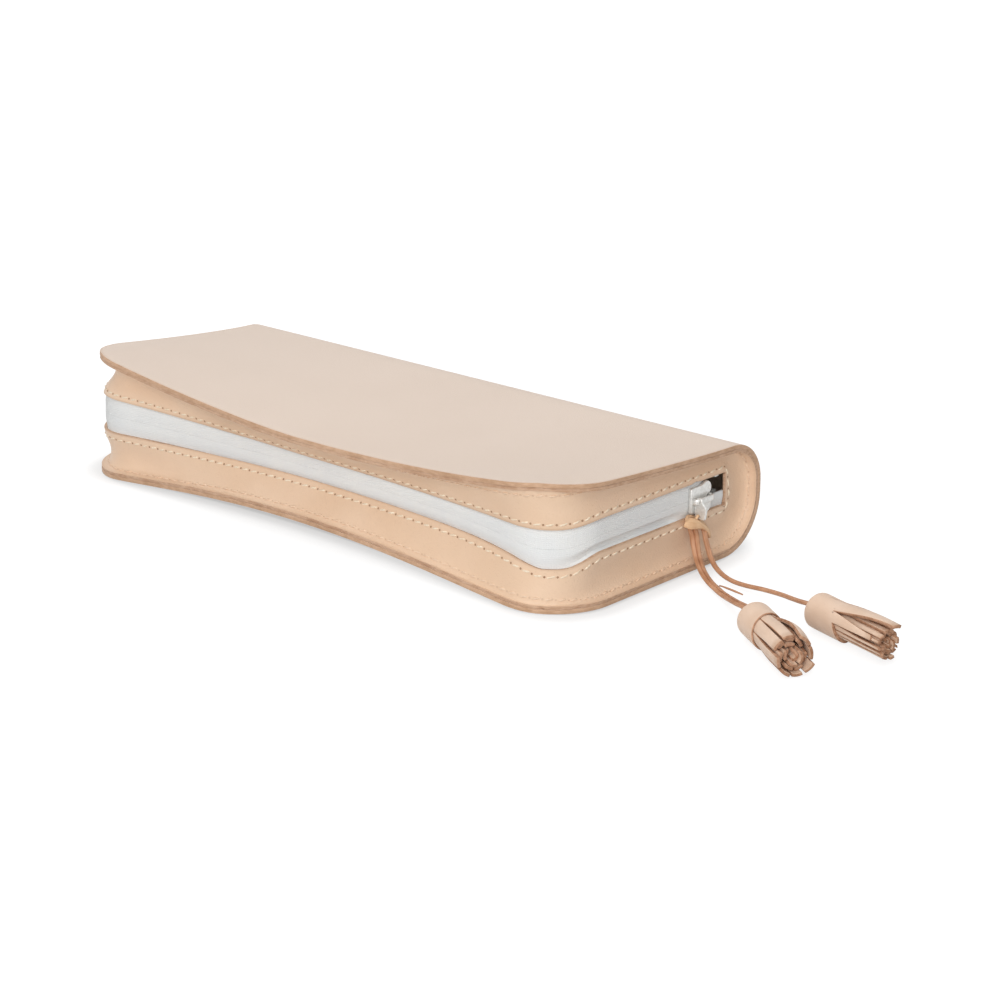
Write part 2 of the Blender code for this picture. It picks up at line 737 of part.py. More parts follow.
def pull_tab():
    """The tab hangs from the bridge's bar, which runs through its eye."""
    bar_z = SLOT_MIDDLE_SIDE
    eye_half = BRIDGE_BAR / 2 + TAB_CLEARANCE
    ring = eye_half + TAB_RING
    low = TAB_PLACE - TAB_THICKNESS / 2
    high = TAB_PLACE + TAB_THICKNESS / 2
    inner = BAR_X - ring
    outer = inner + TAB_WIDTH
    bottom = bar_z - TAB_DROP
    corner = TAB_WIDTH / 4
    outline = arc((BAR_X, bar_z), ring, 180, 0, 8)
    outline += [(outer, bar_z - TAB_NECK_DROP)]
    outline += arc((outer - corner, bottom + corner), corner, 0, -90, 3)
    outline += arc((inner + corner, bottom + corner), corner, -90, -180, 3)
    tab = prism("pull_tab", outline, low, high, 1, METAL)
    eye = arc((BAR_X, bar_z), eye_half, 180, 0, 6)
    eye += arc((BAR_X, bar_z - TAB_EYE_DROP), eye_half, 0, -180, 6)
    hole_x = (inner + outer) / 2
    hole = arc((hole_x, bar_z - TAB_HOLE_DROP), TAB_HOLE_RADIUS, 0, 330, 11)
    cutters = [
        prism("eye_cutter", eye, low - SINK, high + SINK, 1, METAL),
        prism("hole_cutter", hole, low - SINK, high + SINK, 1, METAL),
    ]
    cut_shapes(tab, cutters)
    return hole_x, bar_z - TAB_HOLE_DROP


def stops():
    """Two stops past the slider on the right end, and one across both tapes on the left end."""
    end = SLOT_END - STOP_CLEARANCE
    middle = SLOT_MIDDLE_SIDE
    near = SIDE_FACE - COIL_BACK
    for name, facing in (("top_stop_upper", 1), ("top_stop_lower", -1)):
        inside = middle + facing * CHAIN_SLIT / 2
        outside = inside + facing * COIL_WIDTH
        low = (near - STOP_THICKNESS, end - STOP_LENGTH, min(inside, outside))
        high = (near, end, max(inside, outside))
        box_object(name, low, high, METAL)
    reach = CHAIN_SLIT / 2 + COIL_WIDTH
    left_near = -HALF_LENGTH + SLOT_INSET_LEFT + COIL_BACK
    low = (left_near, end - STOP_LENGTH, middle - reach)
    high = (left_near + STOP_THICKNESS, end, middle + reach)
    box_object("bottom_stop", low, high, METAL)


# Lace and tassels


def hung(route, top):
    """The route with its first point at the height top, down to its lowest point, which stays."""
    heights = [point[2] for point in route]
    low = min(heights)
    lowest = heights.index(low)
    stretch = (top - low) / (heights[0] - low)
    falling = [(x, y, low + (z - low) * stretch) for x, y, z in route[:lowest]]
    return falling + list(route[lowest:])


def smooth_route(points, radius):
    """Points a few diameters apart on one smooth curve through the route."""
    route = [Vector(point) for point in points]
    ends = [2 * route[0] - route[1]] + route + [2 * route[-1] - route[-2]]
    fine = []
    for i in range(1, len(ends) - 2):
        a, b, c, d = ends[i - 1 : i + 3]
        square = 2 * a - 5 * b + 4 * c - d
        cube = 3 * b - a - 3 * c + d
        for step in range(ROUTE_PARTS):
            t = step / ROUTE_PARTS
            fine.append((2 * b + (c - a) * t + square * t**2 + cube * t**3) / 2)
    fine.append(route[-1])
    kept = [fine[0]]
    for point in fine[1:-1]:
        if (point - kept[-1]).length >= 2 * radius:
            kept.append(point)
    if (fine[-1] - kept[-1]).length < radius:
        kept.pop()
    return kept + [fine[-1]]


def hitch(hole_x, hole_z):
    """The lace's turn through the pull tab's hole, closed under the tab."""
    top = hole_z + TAB_HOLE_RADIUS - HITCH_RADIUS - GAP
    bottom = hole_z - HITCH_DROP
    y = TAB_PLACE
    side = HITCH_HALF_DEPTH
    points = [
        (hole_x, y, top),
        (hole_x, y - side * math.sin(math.pi / 4), top - HITCH_RADIUS / 2),
        (hole_x, y - side, hole_z - HITCH_RADIUS),
        (hole_x - HITCH_RADIUS / 2, y - side, hole_z - HITCH_DROP / 2),
        (hole_x - HITCH_RADIUS, y - side / 2, bottom),
        (hole_x - HITCH_RADIUS, y + side / 2, bottom),
        (hole_x - HITCH_RADIUS / 2, y + side, hole_z - HITCH_DROP / 2),
        (hole_x, y + side, hole_z - HITCH_RADIUS),
        (hole_x, y + side * math.sin(math.pi / 4), top - HITCH_RADIUS / 2),
    ]
    obj = cord("lace_hitch", points, HITCH_RADIUS, LACE)
    obj.data.splines[0].use_cyclic_u = True
    obj.data.use_fill_caps = False
    return obj


def lathe(name, profile, origin, heading, look, steps=16):
    """A turned solid: profile points are (distance along the axis, radius)."""
    forward = Vector((math.cos(heading), math.sin(heading), 0.0))
    side = Vector((-forward.y, forward.x, 0.0))
    up = Vector((0.0, 0.0, 1.0))
    bm = bmesh.new()
    rings = []
    for along, radius in profile:
        ring = []
        for step in range(steps):
            angle = 2 * math.pi * step / steps
            offset = side * math.cos(angle) + up * math.sin(angle)
            ring.append(bm.verts.new(origin + forward * along + offset * radius))
        rings.append(ring)
    for a, b in zip(rings, rings[1:]):
        for i in range(steps):
            j = (i + 1) % steps
            bm.faces.new((a[i], a[j], b[j], b[i]))
    bm.faces.new(rings[0])
    bm.faces.new(rings[-1][::-1])
    return add_object(name, bm, look)


def tassel(name, start, degrees, cap_length, length):
    heading = math.radians(degrees)
    origin = Vector((start[0], start[1], TASSEL_RADIUS))
    radius = TASSEL_RADIUS
    hollow = radius - CAP_WALL
    floor = TASSEL_EDGE + CAP_WALL
    cap_profile = (
        (0.0, radius - TASSEL_EDGE),
        (TASSEL_EDGE, radius),
        (cap_length, radius),
        (cap_length, hollow),
        (floor, hollow),
    )
    lathe(name + "_cap", cap_profile, origin, heading, LEATHER)
    forward = Vector((math.cos(heading), math.sin(heading), 0.0))
    side = Vector((-forward.y, forward.x, 0.0))
    up = Vector((0.0, 0.0, 1.0))
    rings = []
    core = hollow - GAP
    tip_radius = TASSEL_RADIUS + FRINGE_FLARE
    fringe = length - cap_length
    sections = (
        (floor + GAP, core, 0.0),
        (cap_length * MOUTH_SHARE, core, FRINGE_GROOVE / 2),
        (cap_length + GAP, core, FRINGE_GROOVE),
        (cap_length + fringe * SPREAD_SHARES[0], (core + tip_radius) / 2, FRINGE_GROOVE),
        (cap_length + fringe * SPREAD_SHARES[1], tip_radius, FRINGE_GROOVE),
        (length, tip_radius, FRINGE_GROOVE),
    )
    for along, reach, groove in sections:
        ring = []
        for strip in range(FRINGE_STRIPS):
            for width_share, deep in STRIP_SHARES:
                angle = 2 * math.pi * (strip + width_share) / FRINGE_STRIPS
                out = reach - groove * deep
                point = origin + forward * along
                point += side * math.cos(angle) * out + up * math.sin(angle) * out
                point.z = max(point.z, FRINGE_TIP_CLEARANCE)
                ring.append(point)
        rings.append(ring)
    loft(name + "_fringe", rings, LEATHER)


# Joints


def hang(axis_name, place, names, carrier=None):
    """Parent pieces to an empty that stands on the axis they move on."""
    axis = bpy.data.objects.new(axis_name, None)
    axis.location = place
    if carrier:
        axis.parent = carrier
        axis.location = Vector(place) - carrier.location
    bpy.context.collection.objects.link(axis)
    for name in names:
        piece = bpy.data.objects[name]
        piece.parent = axis
        piece.matrix_parent_inverse = Matrix.Translation(-Vector(place))
    return axis


def hang_moving_pieces():
    lid = ["wrap_top", "gusset_upper", "zip_tape_upper", "zip_coil_upper"]
    lid += ["slot_thread_upper", "rim_thread_upper", "top_stop_upper"]
    hang("lid_fold", (0.0, HALF_DEPTH, SEAM_HEIGHT), lid)
    bar = (BAR_X, TAB_PLACE, SLOT_MIDDLE_SIDE)
    sliding = ["slider_body", "lace_left", "lace_right", "lace_tag"]
    for tassel_name in ("tassel_left", "tassel_right"):
        sliding += [tassel_name + "_cap", tassel_name + "_fringe"]
    run = hang("slider_run", (BAR_X, SLIDER_START, SLOT_MIDDLE_SIDE), sliding)
    hang("pull_bar", bar, ["pull_tab", "lace_hitch"], run)


def main():
    clear_scene()
    cover("wrap_bottom", upper=False)
    cover("wrap_top", upper=True)
    gusset("gusset_lower", upper=False)
    gusset("gusset_upper", upper=True)
    tape("zip_tape_lower", upper=False)
    tape("zip_tape_upper", upper=True)
    coil("zip_coil_lower", upper=False)
    coil("zip_coil_upper", upper=True)
    thread("slot_thread_lower", upper=False, from_rim=False)
    thread("slot_thread_upper", upper=True, from_rim=False)
    thread("rim_thread_lower", upper=False, from_rim=True)
    thread("rim_thread_upper", upper=True, from_rim=True)
    stops()
    slider_body()
    hole_x, hole_z = pull_tab()
    hitch(hole_x, hole_z)
    top = hole_z - HITCH_DROP - LACE_CLEARANCE
    for name, route in (("lace_left", LEFT_LACE_ROUTE), ("lace_right", RIGHT_LACE_ROUTE)):
        cord(name, smooth_route(hung(route, top), LACE_RADIUS), LACE_RADIUS, LACE)
    cord("lace_tag", smooth_route(TAG_ROUTE, TAG_RADIUS), TAG_RADIUS, LACE)
    for values in TASSELS:
        tassel(*values)
    hang_moving_pieces()


main()
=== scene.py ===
# Slim zip pen case of natural leather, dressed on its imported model. Lengths are in metres.
import math

import bpy
from mathutils import Matrix, Vector, noise


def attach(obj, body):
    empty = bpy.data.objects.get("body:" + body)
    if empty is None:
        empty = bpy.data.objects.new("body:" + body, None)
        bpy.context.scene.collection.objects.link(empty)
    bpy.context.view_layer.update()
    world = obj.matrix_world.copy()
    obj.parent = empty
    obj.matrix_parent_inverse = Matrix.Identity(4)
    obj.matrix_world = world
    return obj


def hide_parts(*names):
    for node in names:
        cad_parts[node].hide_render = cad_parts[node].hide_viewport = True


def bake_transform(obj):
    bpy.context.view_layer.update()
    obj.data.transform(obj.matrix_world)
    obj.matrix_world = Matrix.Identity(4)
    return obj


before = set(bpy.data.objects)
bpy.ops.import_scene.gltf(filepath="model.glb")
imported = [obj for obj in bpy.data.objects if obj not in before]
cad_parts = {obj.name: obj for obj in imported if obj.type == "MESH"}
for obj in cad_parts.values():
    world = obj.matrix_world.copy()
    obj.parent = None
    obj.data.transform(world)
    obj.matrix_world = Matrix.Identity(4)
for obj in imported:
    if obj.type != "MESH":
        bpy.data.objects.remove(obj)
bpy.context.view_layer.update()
print("packed model loaded")

# Camera

cameraView = {
    "azimuth": 42.199,  # degrees, from the front round to the right
    "elevation": 18.5646, "distance": 0.7492, "target": (0.0197, 0.0217, 0.0005), "lens": 89.5525,
    "sensor": 36.0, "nearest": 0.01,
}


def addCamera():
    turn = math.radians(cameraView["azimuth"])
    rise = math.radians(cameraView["elevation"])
    away = Vector((math.sin(turn) * math.cos(rise), -math.cos(turn) * math.cos(rise), math.sin(rise)))
    place = Vector(cameraView["target"]) + away * cameraView["distance"]
    bpy.ops.object.camera_add(location=place, rotation=(math.pi / 2 - rise, 0.0, turn))
    camera = bpy.context.object
    camera.name = "photoCamera"
    camera.data.lens = cameraView["lens"]
    camera.data.sensor_width = cameraView["sensor"]
    camera.data.clip_start = cameraView["nearest"]
    bpy.context.scene.camera = camera


addCamera()
print("camera placed")

# Helpers for the modelling


def pick(*pieces):
    # only these stay selected, and the first one is active
    for obj in bpy.context.selected_objects:
        obj.select_set(False)
    for piece in pieces[::-1]:
        piece.select_set(True)
        bpy.context.view_layer.objects.active = piece


def nameIt(piece, name):
    piece.name = name
    piece.data.name = name
    return piece


def evenSteps(start, end, count):
    return [start + (end - start) * step / count for step in range(count + 1)]


def lengthsOf(path):
    # how far along its path each point lies
    gone = [0.0]
    for a, b in zip(path, path[1:]):
        gone.append(gone[-1] + (b - a).length)
    return gone


def gridPiece(name, points, tags=None):
    # a plain grid whose points are moved to the places that the form gives, column by column
    columns = len(points)
    rows = len(points[0])
    pick()
    bpy.ops.mesh.primitive_grid_add(x_subdivisions=columns - 1, y_subdivisions=rows - 1, size=2.0)
    piece = nameIt(bpy.context.object, name)
    mesh = piece.data
    spots = []
    for vertex in mesh.vertices:
        column = round((vertex.co.x + 1) / 2 * (columns - 1))
        spots.append((column, round((vertex.co.y + 1) / 2 * (rows - 1))))
    alongs = lengthsOf([line[rows // 2] for line in points])
    acrosses = [lengthsOf(line) for line in points]
    for vertex, (column, row) in zip(mesh.vertices, spots):
        vertex.co = points[column][row]
    layer = mesh.uv_layers.active
    for loop in mesh.loops:
        column, row = spots[loop.vertex_index]
        layer.data[loop.index].uv = (alongs[column], acrosses[column][row])
    for tag, values in (tags or {}).items():
        attribute = mesh.attributes.new(tag, "FLOAT", "POINT")
        for index, (column, row) in enumerate(spots):
            attribute.data[index].value = values[column][row]
    return piece


def shape(piece, kind, **settings):
    pick(piece)
    modifier = piece.modifiers.new(kind.title(), kind)
    for key, value in settings.items():
        setattr(modifier, key, value)
    bpy.ops.object.modifier_apply(modifier=modifier.name)


def weld(piece, fill=False, outwards=True, threshold=0.000002):
    pick(piece)
    bpy.ops.object.mode_set(mode="EDIT")
    bpy.ops.mesh.select_all(action="SELECT")
    bpy.ops.mesh.remove_doubles(threshold=threshold)
    if fill:
        bpy.ops.mesh.select_all(action="DESELECT")
        bpy.ops.mesh.select_mode(type="EDGE")
        bpy.ops.mesh.select_non_manifold()
        bpy.ops.mesh.fill_holes(sides=0)
        bpy.ops.mesh.select_all(action="SELECT")
    if outwards:
        bpy.ops.mesh.normals_make_consistent(inside=False)
    bpy.ops.object.mode_set(mode="OBJECT")


def smooth(piece, degrees=40):
    pick(piece)
    bpy.ops.object.shade_smooth_by_angle(angle=math.radians(degrees))


def thicken(piece, thick, soft, segments, limit, inner=0, edge=-1):
    # a sheet gets its wall on its inner side, a rim of its own and softened edges
    wall = {"material_offset": inner, "material_offset_rim": 1}
    shape(piece, "SOLIDIFY", thickness=thick, offset=-1.0, use_even_offset=True, **wall)
    shape(piece, "BEVEL", width=soft, segments=segments, angle_limit=math.radians(limit), material=edge)


def joinUp(name, pieces):
    pick(*pieces)
    bpy.ops.object.join()
    return nameIt(bpy.context.object, name)


def dress(piece, *materials):
    piece.data.materials.clear()
    for made in materials:
        piece.data.materials.append(made)


def standFor(piece, nodes, body, follows=None):
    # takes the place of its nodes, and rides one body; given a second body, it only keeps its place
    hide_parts(*nodes)
    if follows:
        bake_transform(piece)
    else:
        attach(piece, body)


def smoothPath(points, parts=4):
    # more points on one smooth curve through the given ones
    path = [Vector(point) for point in points]
    ends = [2 * path[0] - path[1]] + path + [2 * path[-1] - path[-2]]
    fine = []
    for i in range(1, len(ends) - 2):
        a, b, c, d = ends[i - 1 : i + 3]
        for step in range(parts):
            t = step / parts
            square = 2 * a - 5 * b + 4 * c - d
            cube = 3 * b - a - 3 * c + d
            fine.append((2 * b + (c - a) * t + square * t**2 + cube * t**3) / 2)
    return fine + [path[-1]]


def spreadValues(values, count):
    # the given values drawn out evenly over more points
    made = []
    for i in range(count):
        place = i / (count - 1) * (len(values) - 1)
        low = min(int(place), len(values) - 2)
        made.append(values[low] + (values[low + 1] - values[low]) * (place - low))
    return made


def tubePiece(name, rings, degrees, closed=False):
    # rings joined up, with filled ends unless the tube runs round
    rings = [ring + ring[:1] for ring in rings]
    piece = gridPiece(name, rings + rings[:1] if closed else rings)
    weld(piece, fill=not closed)
    smooth(piece, degrees)
    return piece


stripForm = {"soft": 0.3, "flat": 0.2, "smooth": 50}


def stripRing(width, thick, crease):
    # cross-section of a cut strip with softened corners, and a crease along its middle
    w = width / 2
    t = thick / 2
    soft = thick * stripForm["soft"]
    flat = w * stripForm["flat"]
    half = [(w, soft - t), (w, t - soft), (w - soft, t), (flat, t)]
    half += [(0.0, t - crease), (-flat, t), (soft - w, t)]
    return half + [(-a, -b) for a, b in half]


def sweepStrip(name, path, widthway, widths, thick, closed=False, crease=0.0):
    # a flat strip along a path, with one width or one for each point
    rings = []
    for i, point in enumerate(path):
        before = path[i - 1] if i or closed else point
        after = path[(i + 1) % len(path)] if i < len(path) - 1 or closed else point
        ahead = (after - before).normalized()
        wide = Vector(widthway)
        wide = (wide - ahead * wide.dot(ahead)).normalized()
        flat = ahead.cross(wide)
        width = widths if isinstance(widths, float) else widths[i]
        rings.append([point + wide * a + flat * b for a, b in stripRing(width, thick, crease)])
    return tubePiece(name, rings, stripForm["smooth"], closed)


# Materials


def startMaterial(name, values):
    made = bpy.data.materials.new(name)
    made.use_nodes = True
    shader = made.node_tree.nodes["Principled BSDF"]
    for socket, value in values.items():
        shader.inputs[socket].default_value = value
    return made, made.node_tree, shader


def addNode(tree, kind, inputs=None, **fields):
    # an input is a value, or the socket of another node
    node = tree.nodes.new("ShaderNode" + kind)
    for key, value in fields.items():
        setattr(node, key, value)
    for key, value in (inputs or {}).items():
        if isinstance(value, bpy.types.NodeSocket):
            tree.links.new(value, node.inputs[key])
        else:
            node.inputs[key].default_value = value
    return node


def spotOf(tree):
    return addNode(tree, "TexCoord").outputs["Object"]


def mixColours(tree, share, first, second):
    if not isinstance(first, bpy.types.NodeSocket):
        first = (*first, 1.0)
    return addNode(tree, "Mix", {0: share, 6: first, 7: (*second, 1.0)}, data_type="RGBA").outputs[2]


def rangeOf(tree, value, *limits):
    # from low, from high, and where they aren't 0 and 1, to low, to high
    sockets = ("Value", "From Min", "From Max", "To Min", "To Max")
    inputs = dict(zip(sockets, (value, *limits)))
    return addNode(tree, "MapRange", inputs, interpolation_type="SMOOTHSTEP").outputs["Result"]


def workOut(tree, kind, *values):
    return addNode(tree, "Math", dict(enumerate(values)), operation=kind).outputs[0]


def weigh(tree, *pairs):
    # the values, each times its share, added up
    parts = [workOut(tree, "MULTIPLY", value, share) for value, share in pairs]
    total = parts[0]
    for part in parts[1:]:
        total = workOut(tree, "ADD", total, part)
    return total


def noiseOn(tree, vector, scale, detail=3.0, rough=0.55):
    inputs = {"Vector": vector, "Scale": scale, "Detail": detail, "Roughness": rough}
    return addNode(tree, "TexNoise", inputs).outputs["Fac"]


def paint(tree, shader, colour, height, depth):
    bump = addNode(tree, "Bump", {"Height": height, "Distance": depth, "Strength": 1.0})
    tree.links.new(colour, shader.inputs["Base Color"])
    tree.links.new(bump.outputs["Normal"], shader.inputs["Normal"])


grainForm = {
    "sheen": 0.05, "sheenRough": 0.6, "clouds": (0.30, 0.72), "speckScale": 1400.0, "specks": (0.60, 0.80),
    "pores": (0.0, 0.5), "poreShare": 0.5,
    "fineness": 2.4,  # of the creases between the pores
    "fineShare": 0.4, "waveScale": 160.0, "roughSpread": (0.3, 0.7), "roughFrom": -0.05, "roughTo": 0.08,
}


def leatherMaterial(name, look):
    # grain side: soft clouds of tone, small pores, a few faint marks
    form = grainForm
    rough = look["rough"]
    values = {"Roughness": rough, "Specular IOR Level": look["gloss"]}
    values.update({"Sheen Weight": form["sheen"], "Sheen Roughness": form["sheenRough"]})
    made, tree, shader = startMaterial(name, values)
    spot = spotOf(tree)
    clouds = noiseOn(tree, spot, look["cloudScale"], 2.0)
    colour = mixColours(tree, rangeOf(tree, clouds, *form["clouds"]), look["colour"], look["shade"])
    specks = noiseOn(tree, spot, form["speckScale"], 2.0)
    specks = rangeOf(tree, specks, *form["specks"], 0.0, look["speck"])
    colour = mixColours(tree, specks, colour, look["deep"])
    # darker towards the edges that the tints name; on the gusset the tint along the slot is painted shade
    # where the leather meets the tape
    for tag, low, high, share in look["tints"]:
        near = addNode(tree, "Attribute", attribute_name=tag).outputs["Fac"]
        colour = mixColours(tree, rangeOf(tree, near, low, high, share, 0.0), colour, look["deep"])
    pores = addNode(tree, "TexVoronoi", {"Vector": spot, "Scale": look["poreScale"], "Randomness": 1.0})
    grain = rangeOf(tree, pores.outputs["Distance"], *form["pores"])
    fine = noiseOn(tree, spot, look["poreScale"] * form["fineness"], 2.0)
    waves = noiseOn(tree, spot, form["waveScale"], 2.0)
    height = weigh(tree, (grain, form["poreShare"]), (fine, form["fineShare"]), (waves, look["waves"]))
    paint(tree, shader, colour, height, look["depth"])
    spread = rangeOf(tree, fine, *form["roughSpread"], rough + form["roughFrom"], rough + form["roughTo"])
    tree.links.new(spread, shader.inputs["Roughness"])
    return made


fibreKinds = {
    "edge": {"gloss": 0.25, "detail": (5.0, 0.65), "shares": (0.6, 0.4), "patches": (130.0, 3.0)},
    "lace": {"gloss": 0.4, "detail": (4.0, 0.6), "shares": (0.5, 0.5), "patches": (210.0, 2.0)},
}
fibreSpread = (0.36, 0.64)


def fibreMaterial(name, light, dark, stretch, roughness, depth, kind="edge"):
    # drawn-out fibres: flesh side, raw and burnished edges, and the length of a lace
    form = fibreKinds[kind]
    made, tree, shader = startMaterial(name, {"Roughness": roughness, "Specular IOR Level": form["gloss"]})
    spot = spotOf(tree)
    way = addNode(tree, "UVMap").outputs["UV"] if kind == "lace" else spot
    drawn = addNode(tree, "Mapping", {"Vector": way, "Scale": stretch})
    fibres = noiseOn(tree, drawn.outputs["Vector"], 1.0, *form["detail"])
    share = weigh(tree, *zip((fibres, noiseOn(tree, spot, *form["patches"])), form["shares"]))
    paint(tree, shader, mixColours(tree, rangeOf(tree, share, *fibreSpread), light, dark), fibres, depth)
    return made


def tapeMaterial(form):
    # woven tape: fine warp ribs along it, weft across
    values = {"Roughness": form["rough"], "Specular IOR Level": form["gloss"]}
    made, tree, shader = startMaterial("wovenTape", values)
    split = addNode(tree, "SeparateXYZ", {"Vector": addNode(tree, "UVMap").outputs["UV"]})
    ribs = []
    for axis, pitch in form["pitches"].items():
        turns = workOut(tree, "MULTIPLY", split.outputs[axis], 2 * math.pi / pitch)
        ribs.append(workOut(tree, "SINE", turns))
    weave = weigh(tree, ribs, (ribs[1], form["weft"]))
    clouds = rangeOf(tree, noiseOn(tree, spotOf(tree), form["cloudScale"]), *form["clouds"])
    colour = mixColours(tree, clouds, form["light"], form["dark"])
    # darker where the weave dips between threads: painted shade in the gaps
    colour = mixColours(tree, rangeOf(tree, weave, *form["gapShadeSpread"]), colour, form["gapShade"])
    paint(tree, shader, colour, weave, form["depth"])
    return made


def plainMaterial(name, light, dark, scale, values, depth):
    made, tree, shader = startMaterial(name, values)
    clouds = noiseOn(tree, spotOf(tree), scale)
    paint(tree, shader, mixColours(tree, rangeOf(tree, clouds, 0.35, 0.65), light, dark), clouds, depth)
    return made


coverLook = {
    "colour": (0.775, 0.640, 0.540), "shade": (0.745, 0.610, 0.510), "deep": (0.560, 0.380, 0.260),
    "rough": 0.52, "gloss": 0.35, "cloudScale": 14.0, "speck": 0.10, "poreScale": 1500.0, "waves": 0.6,
    "depth": 0.00006, "tints": (("rimNear", 0.0002, 0.0014, 0.30),),
}
# its second tint darkens the leather along the slot's edge: painted shade against the tape
gussetLook = {
    "colour": (0.790, 0.575, 0.410), "shade": (0.740, 0.520, 0.355), "deep": (0.420, 0.240, 0.130),
    "rough": 0.42, "gloss": 0.42, "cloudScale": 38.0, "speck": 0.16, "poreScale": 1300.0, "waves": 1.6,
    "depth": 0.00009, "tints": (("rimNear", 0.0001, 0.0010, 0.20), ("slotShadeDistance", 0.0001, 0.0007, 0.30)),
}
capLook = {
    "colour": (0.770, 0.575, 0.440), "shade": (0.715, 0.515, 0.380), "deep": (0.420, 0.250, 0.150),
    "rough": 0.50, "gloss": 0.35, "cloudScale": 120.0, "speck": 0.12, "poreScale": 1800.0, "waves": 1.2,
    "depth": 0.00006, "tints": (("tipNear", 0.0002, 0.0030, 0.55),),
}
tapeLook = {
    "rough": 0.8, "gloss": 0.2, "weft": 0.6, "cloudScale": 90.0, "clouds": (0.3, 0.7), "depth": 0.00004,
    "gapShadeSpread": (-1.5, 0.0, 0.10, 0.0),
    "pitches": {"X": 0.00042, "Y": 0.00055},
    "light": (0.850, 0.855, 0.840), "dark": (0.815, 0.825, 0.825), "gapShade": (0.55, 0.56, 0.56),
}
fibreLooks = (  # name, light, dark, fineness, roughness, depth, kind
    ("burnishedEdge", (0.63, 0.41, 0.27), (0.48, 0.29, 0.175), (420.0, 420.0, 1500.0), 0.45, 0.00006),
    ("slotEdge", (0.62, 0.42, 0.29), (0.47, 0.28, 0.175), (500.0, 500.0, 1500.0), 0.55, 0.00005),
    ("fleshSide", (0.66, 0.50, 0.38), (0.54, 0.38, 0.27), (900.0, 900.0, 900.0), 0.95, 0.00020),
    ("rawEdge", (0.55, 0.322, 0.208), (0.31, 0.15, 0.082), (900.0, 900.0, 900.0), 0.85, 0.00010),
    # the two hole colours are painted shade inside the stitch holes, deep by the slot, faint at the rim
    ("needleHoleShade", (0.44, 0.27, 0.165), (0.33, 0.185, 0.11), (1500.0, 1500.0, 1500.0), 0.90, 0.00005),
    ("pressedHoleShade", (0.70, 0.50, 0.355), (0.63, 0.43, 0.295), (1500.0, 1500.0, 1500.0), 0.90, 0.00005),
    ("laceLeather", (0.60, 0.325, 0.188), (0.44, 0.205, 0.106), (160.0, 1600.0, 1.0), 0.5, 0.00008, "lace"),
    ("foldedLace", (0.80, 0.540, 0.325), (0.68, 0.400, 0.215), (160.0, 1600.0, 1.0), 0.5, 0.00008, "lace"),
)
metalValues = {"Metallic": 0.5, "Roughness": 0.36}
nylonValues = {"Roughness": 0.38, "Specular IOR Level": 0.5}
plainLooks = (  # name, light, dark, fineness, shader values, depth
    ("nickel", (0.76, 0.755, 0.73), (0.64, 0.635, 0.61), 1200.0, metalValues, 0.000006),
    ("nylonCoil", (0.80, 0.80, 0.77), (0.70, 0.70, 0.67), 900.0, nylonValues, 0.00002),
    ("waxedThread", (0.88, 0.76, 0.60), (0.78, 0.62, 0.45), 1500.0, {"Roughness": 0.55}, 0.00006),
    ("rimThread", (0.81, 0.61, 0.45), (0.75, 0.54, 0.38), 1500.0, {"Roughness": 0.55}, 0.00006),
)
coverLeather = leatherMaterial("coverLeather", coverLook)
gussetLeather = leatherMaterial("gussetLeather", gussetLook)
tasselLeather = leatherMaterial("tasselLeather", capLook)
fibres = [fibreMaterial(*look) for look in fibreLooks]
burnishedEdge, slotEdge, fleshSide, rawEdge, needleHoleShade, pressedHoleShade, laceLeather, foldedLace = fibres
wovenTape = tapeMaterial(tapeLook)
nickel, nylon, waxedThread, rimThread = (plainMaterial(*look) for look in plainLooks)
print("materials made")

# Laces and the off-cut end beside the left one

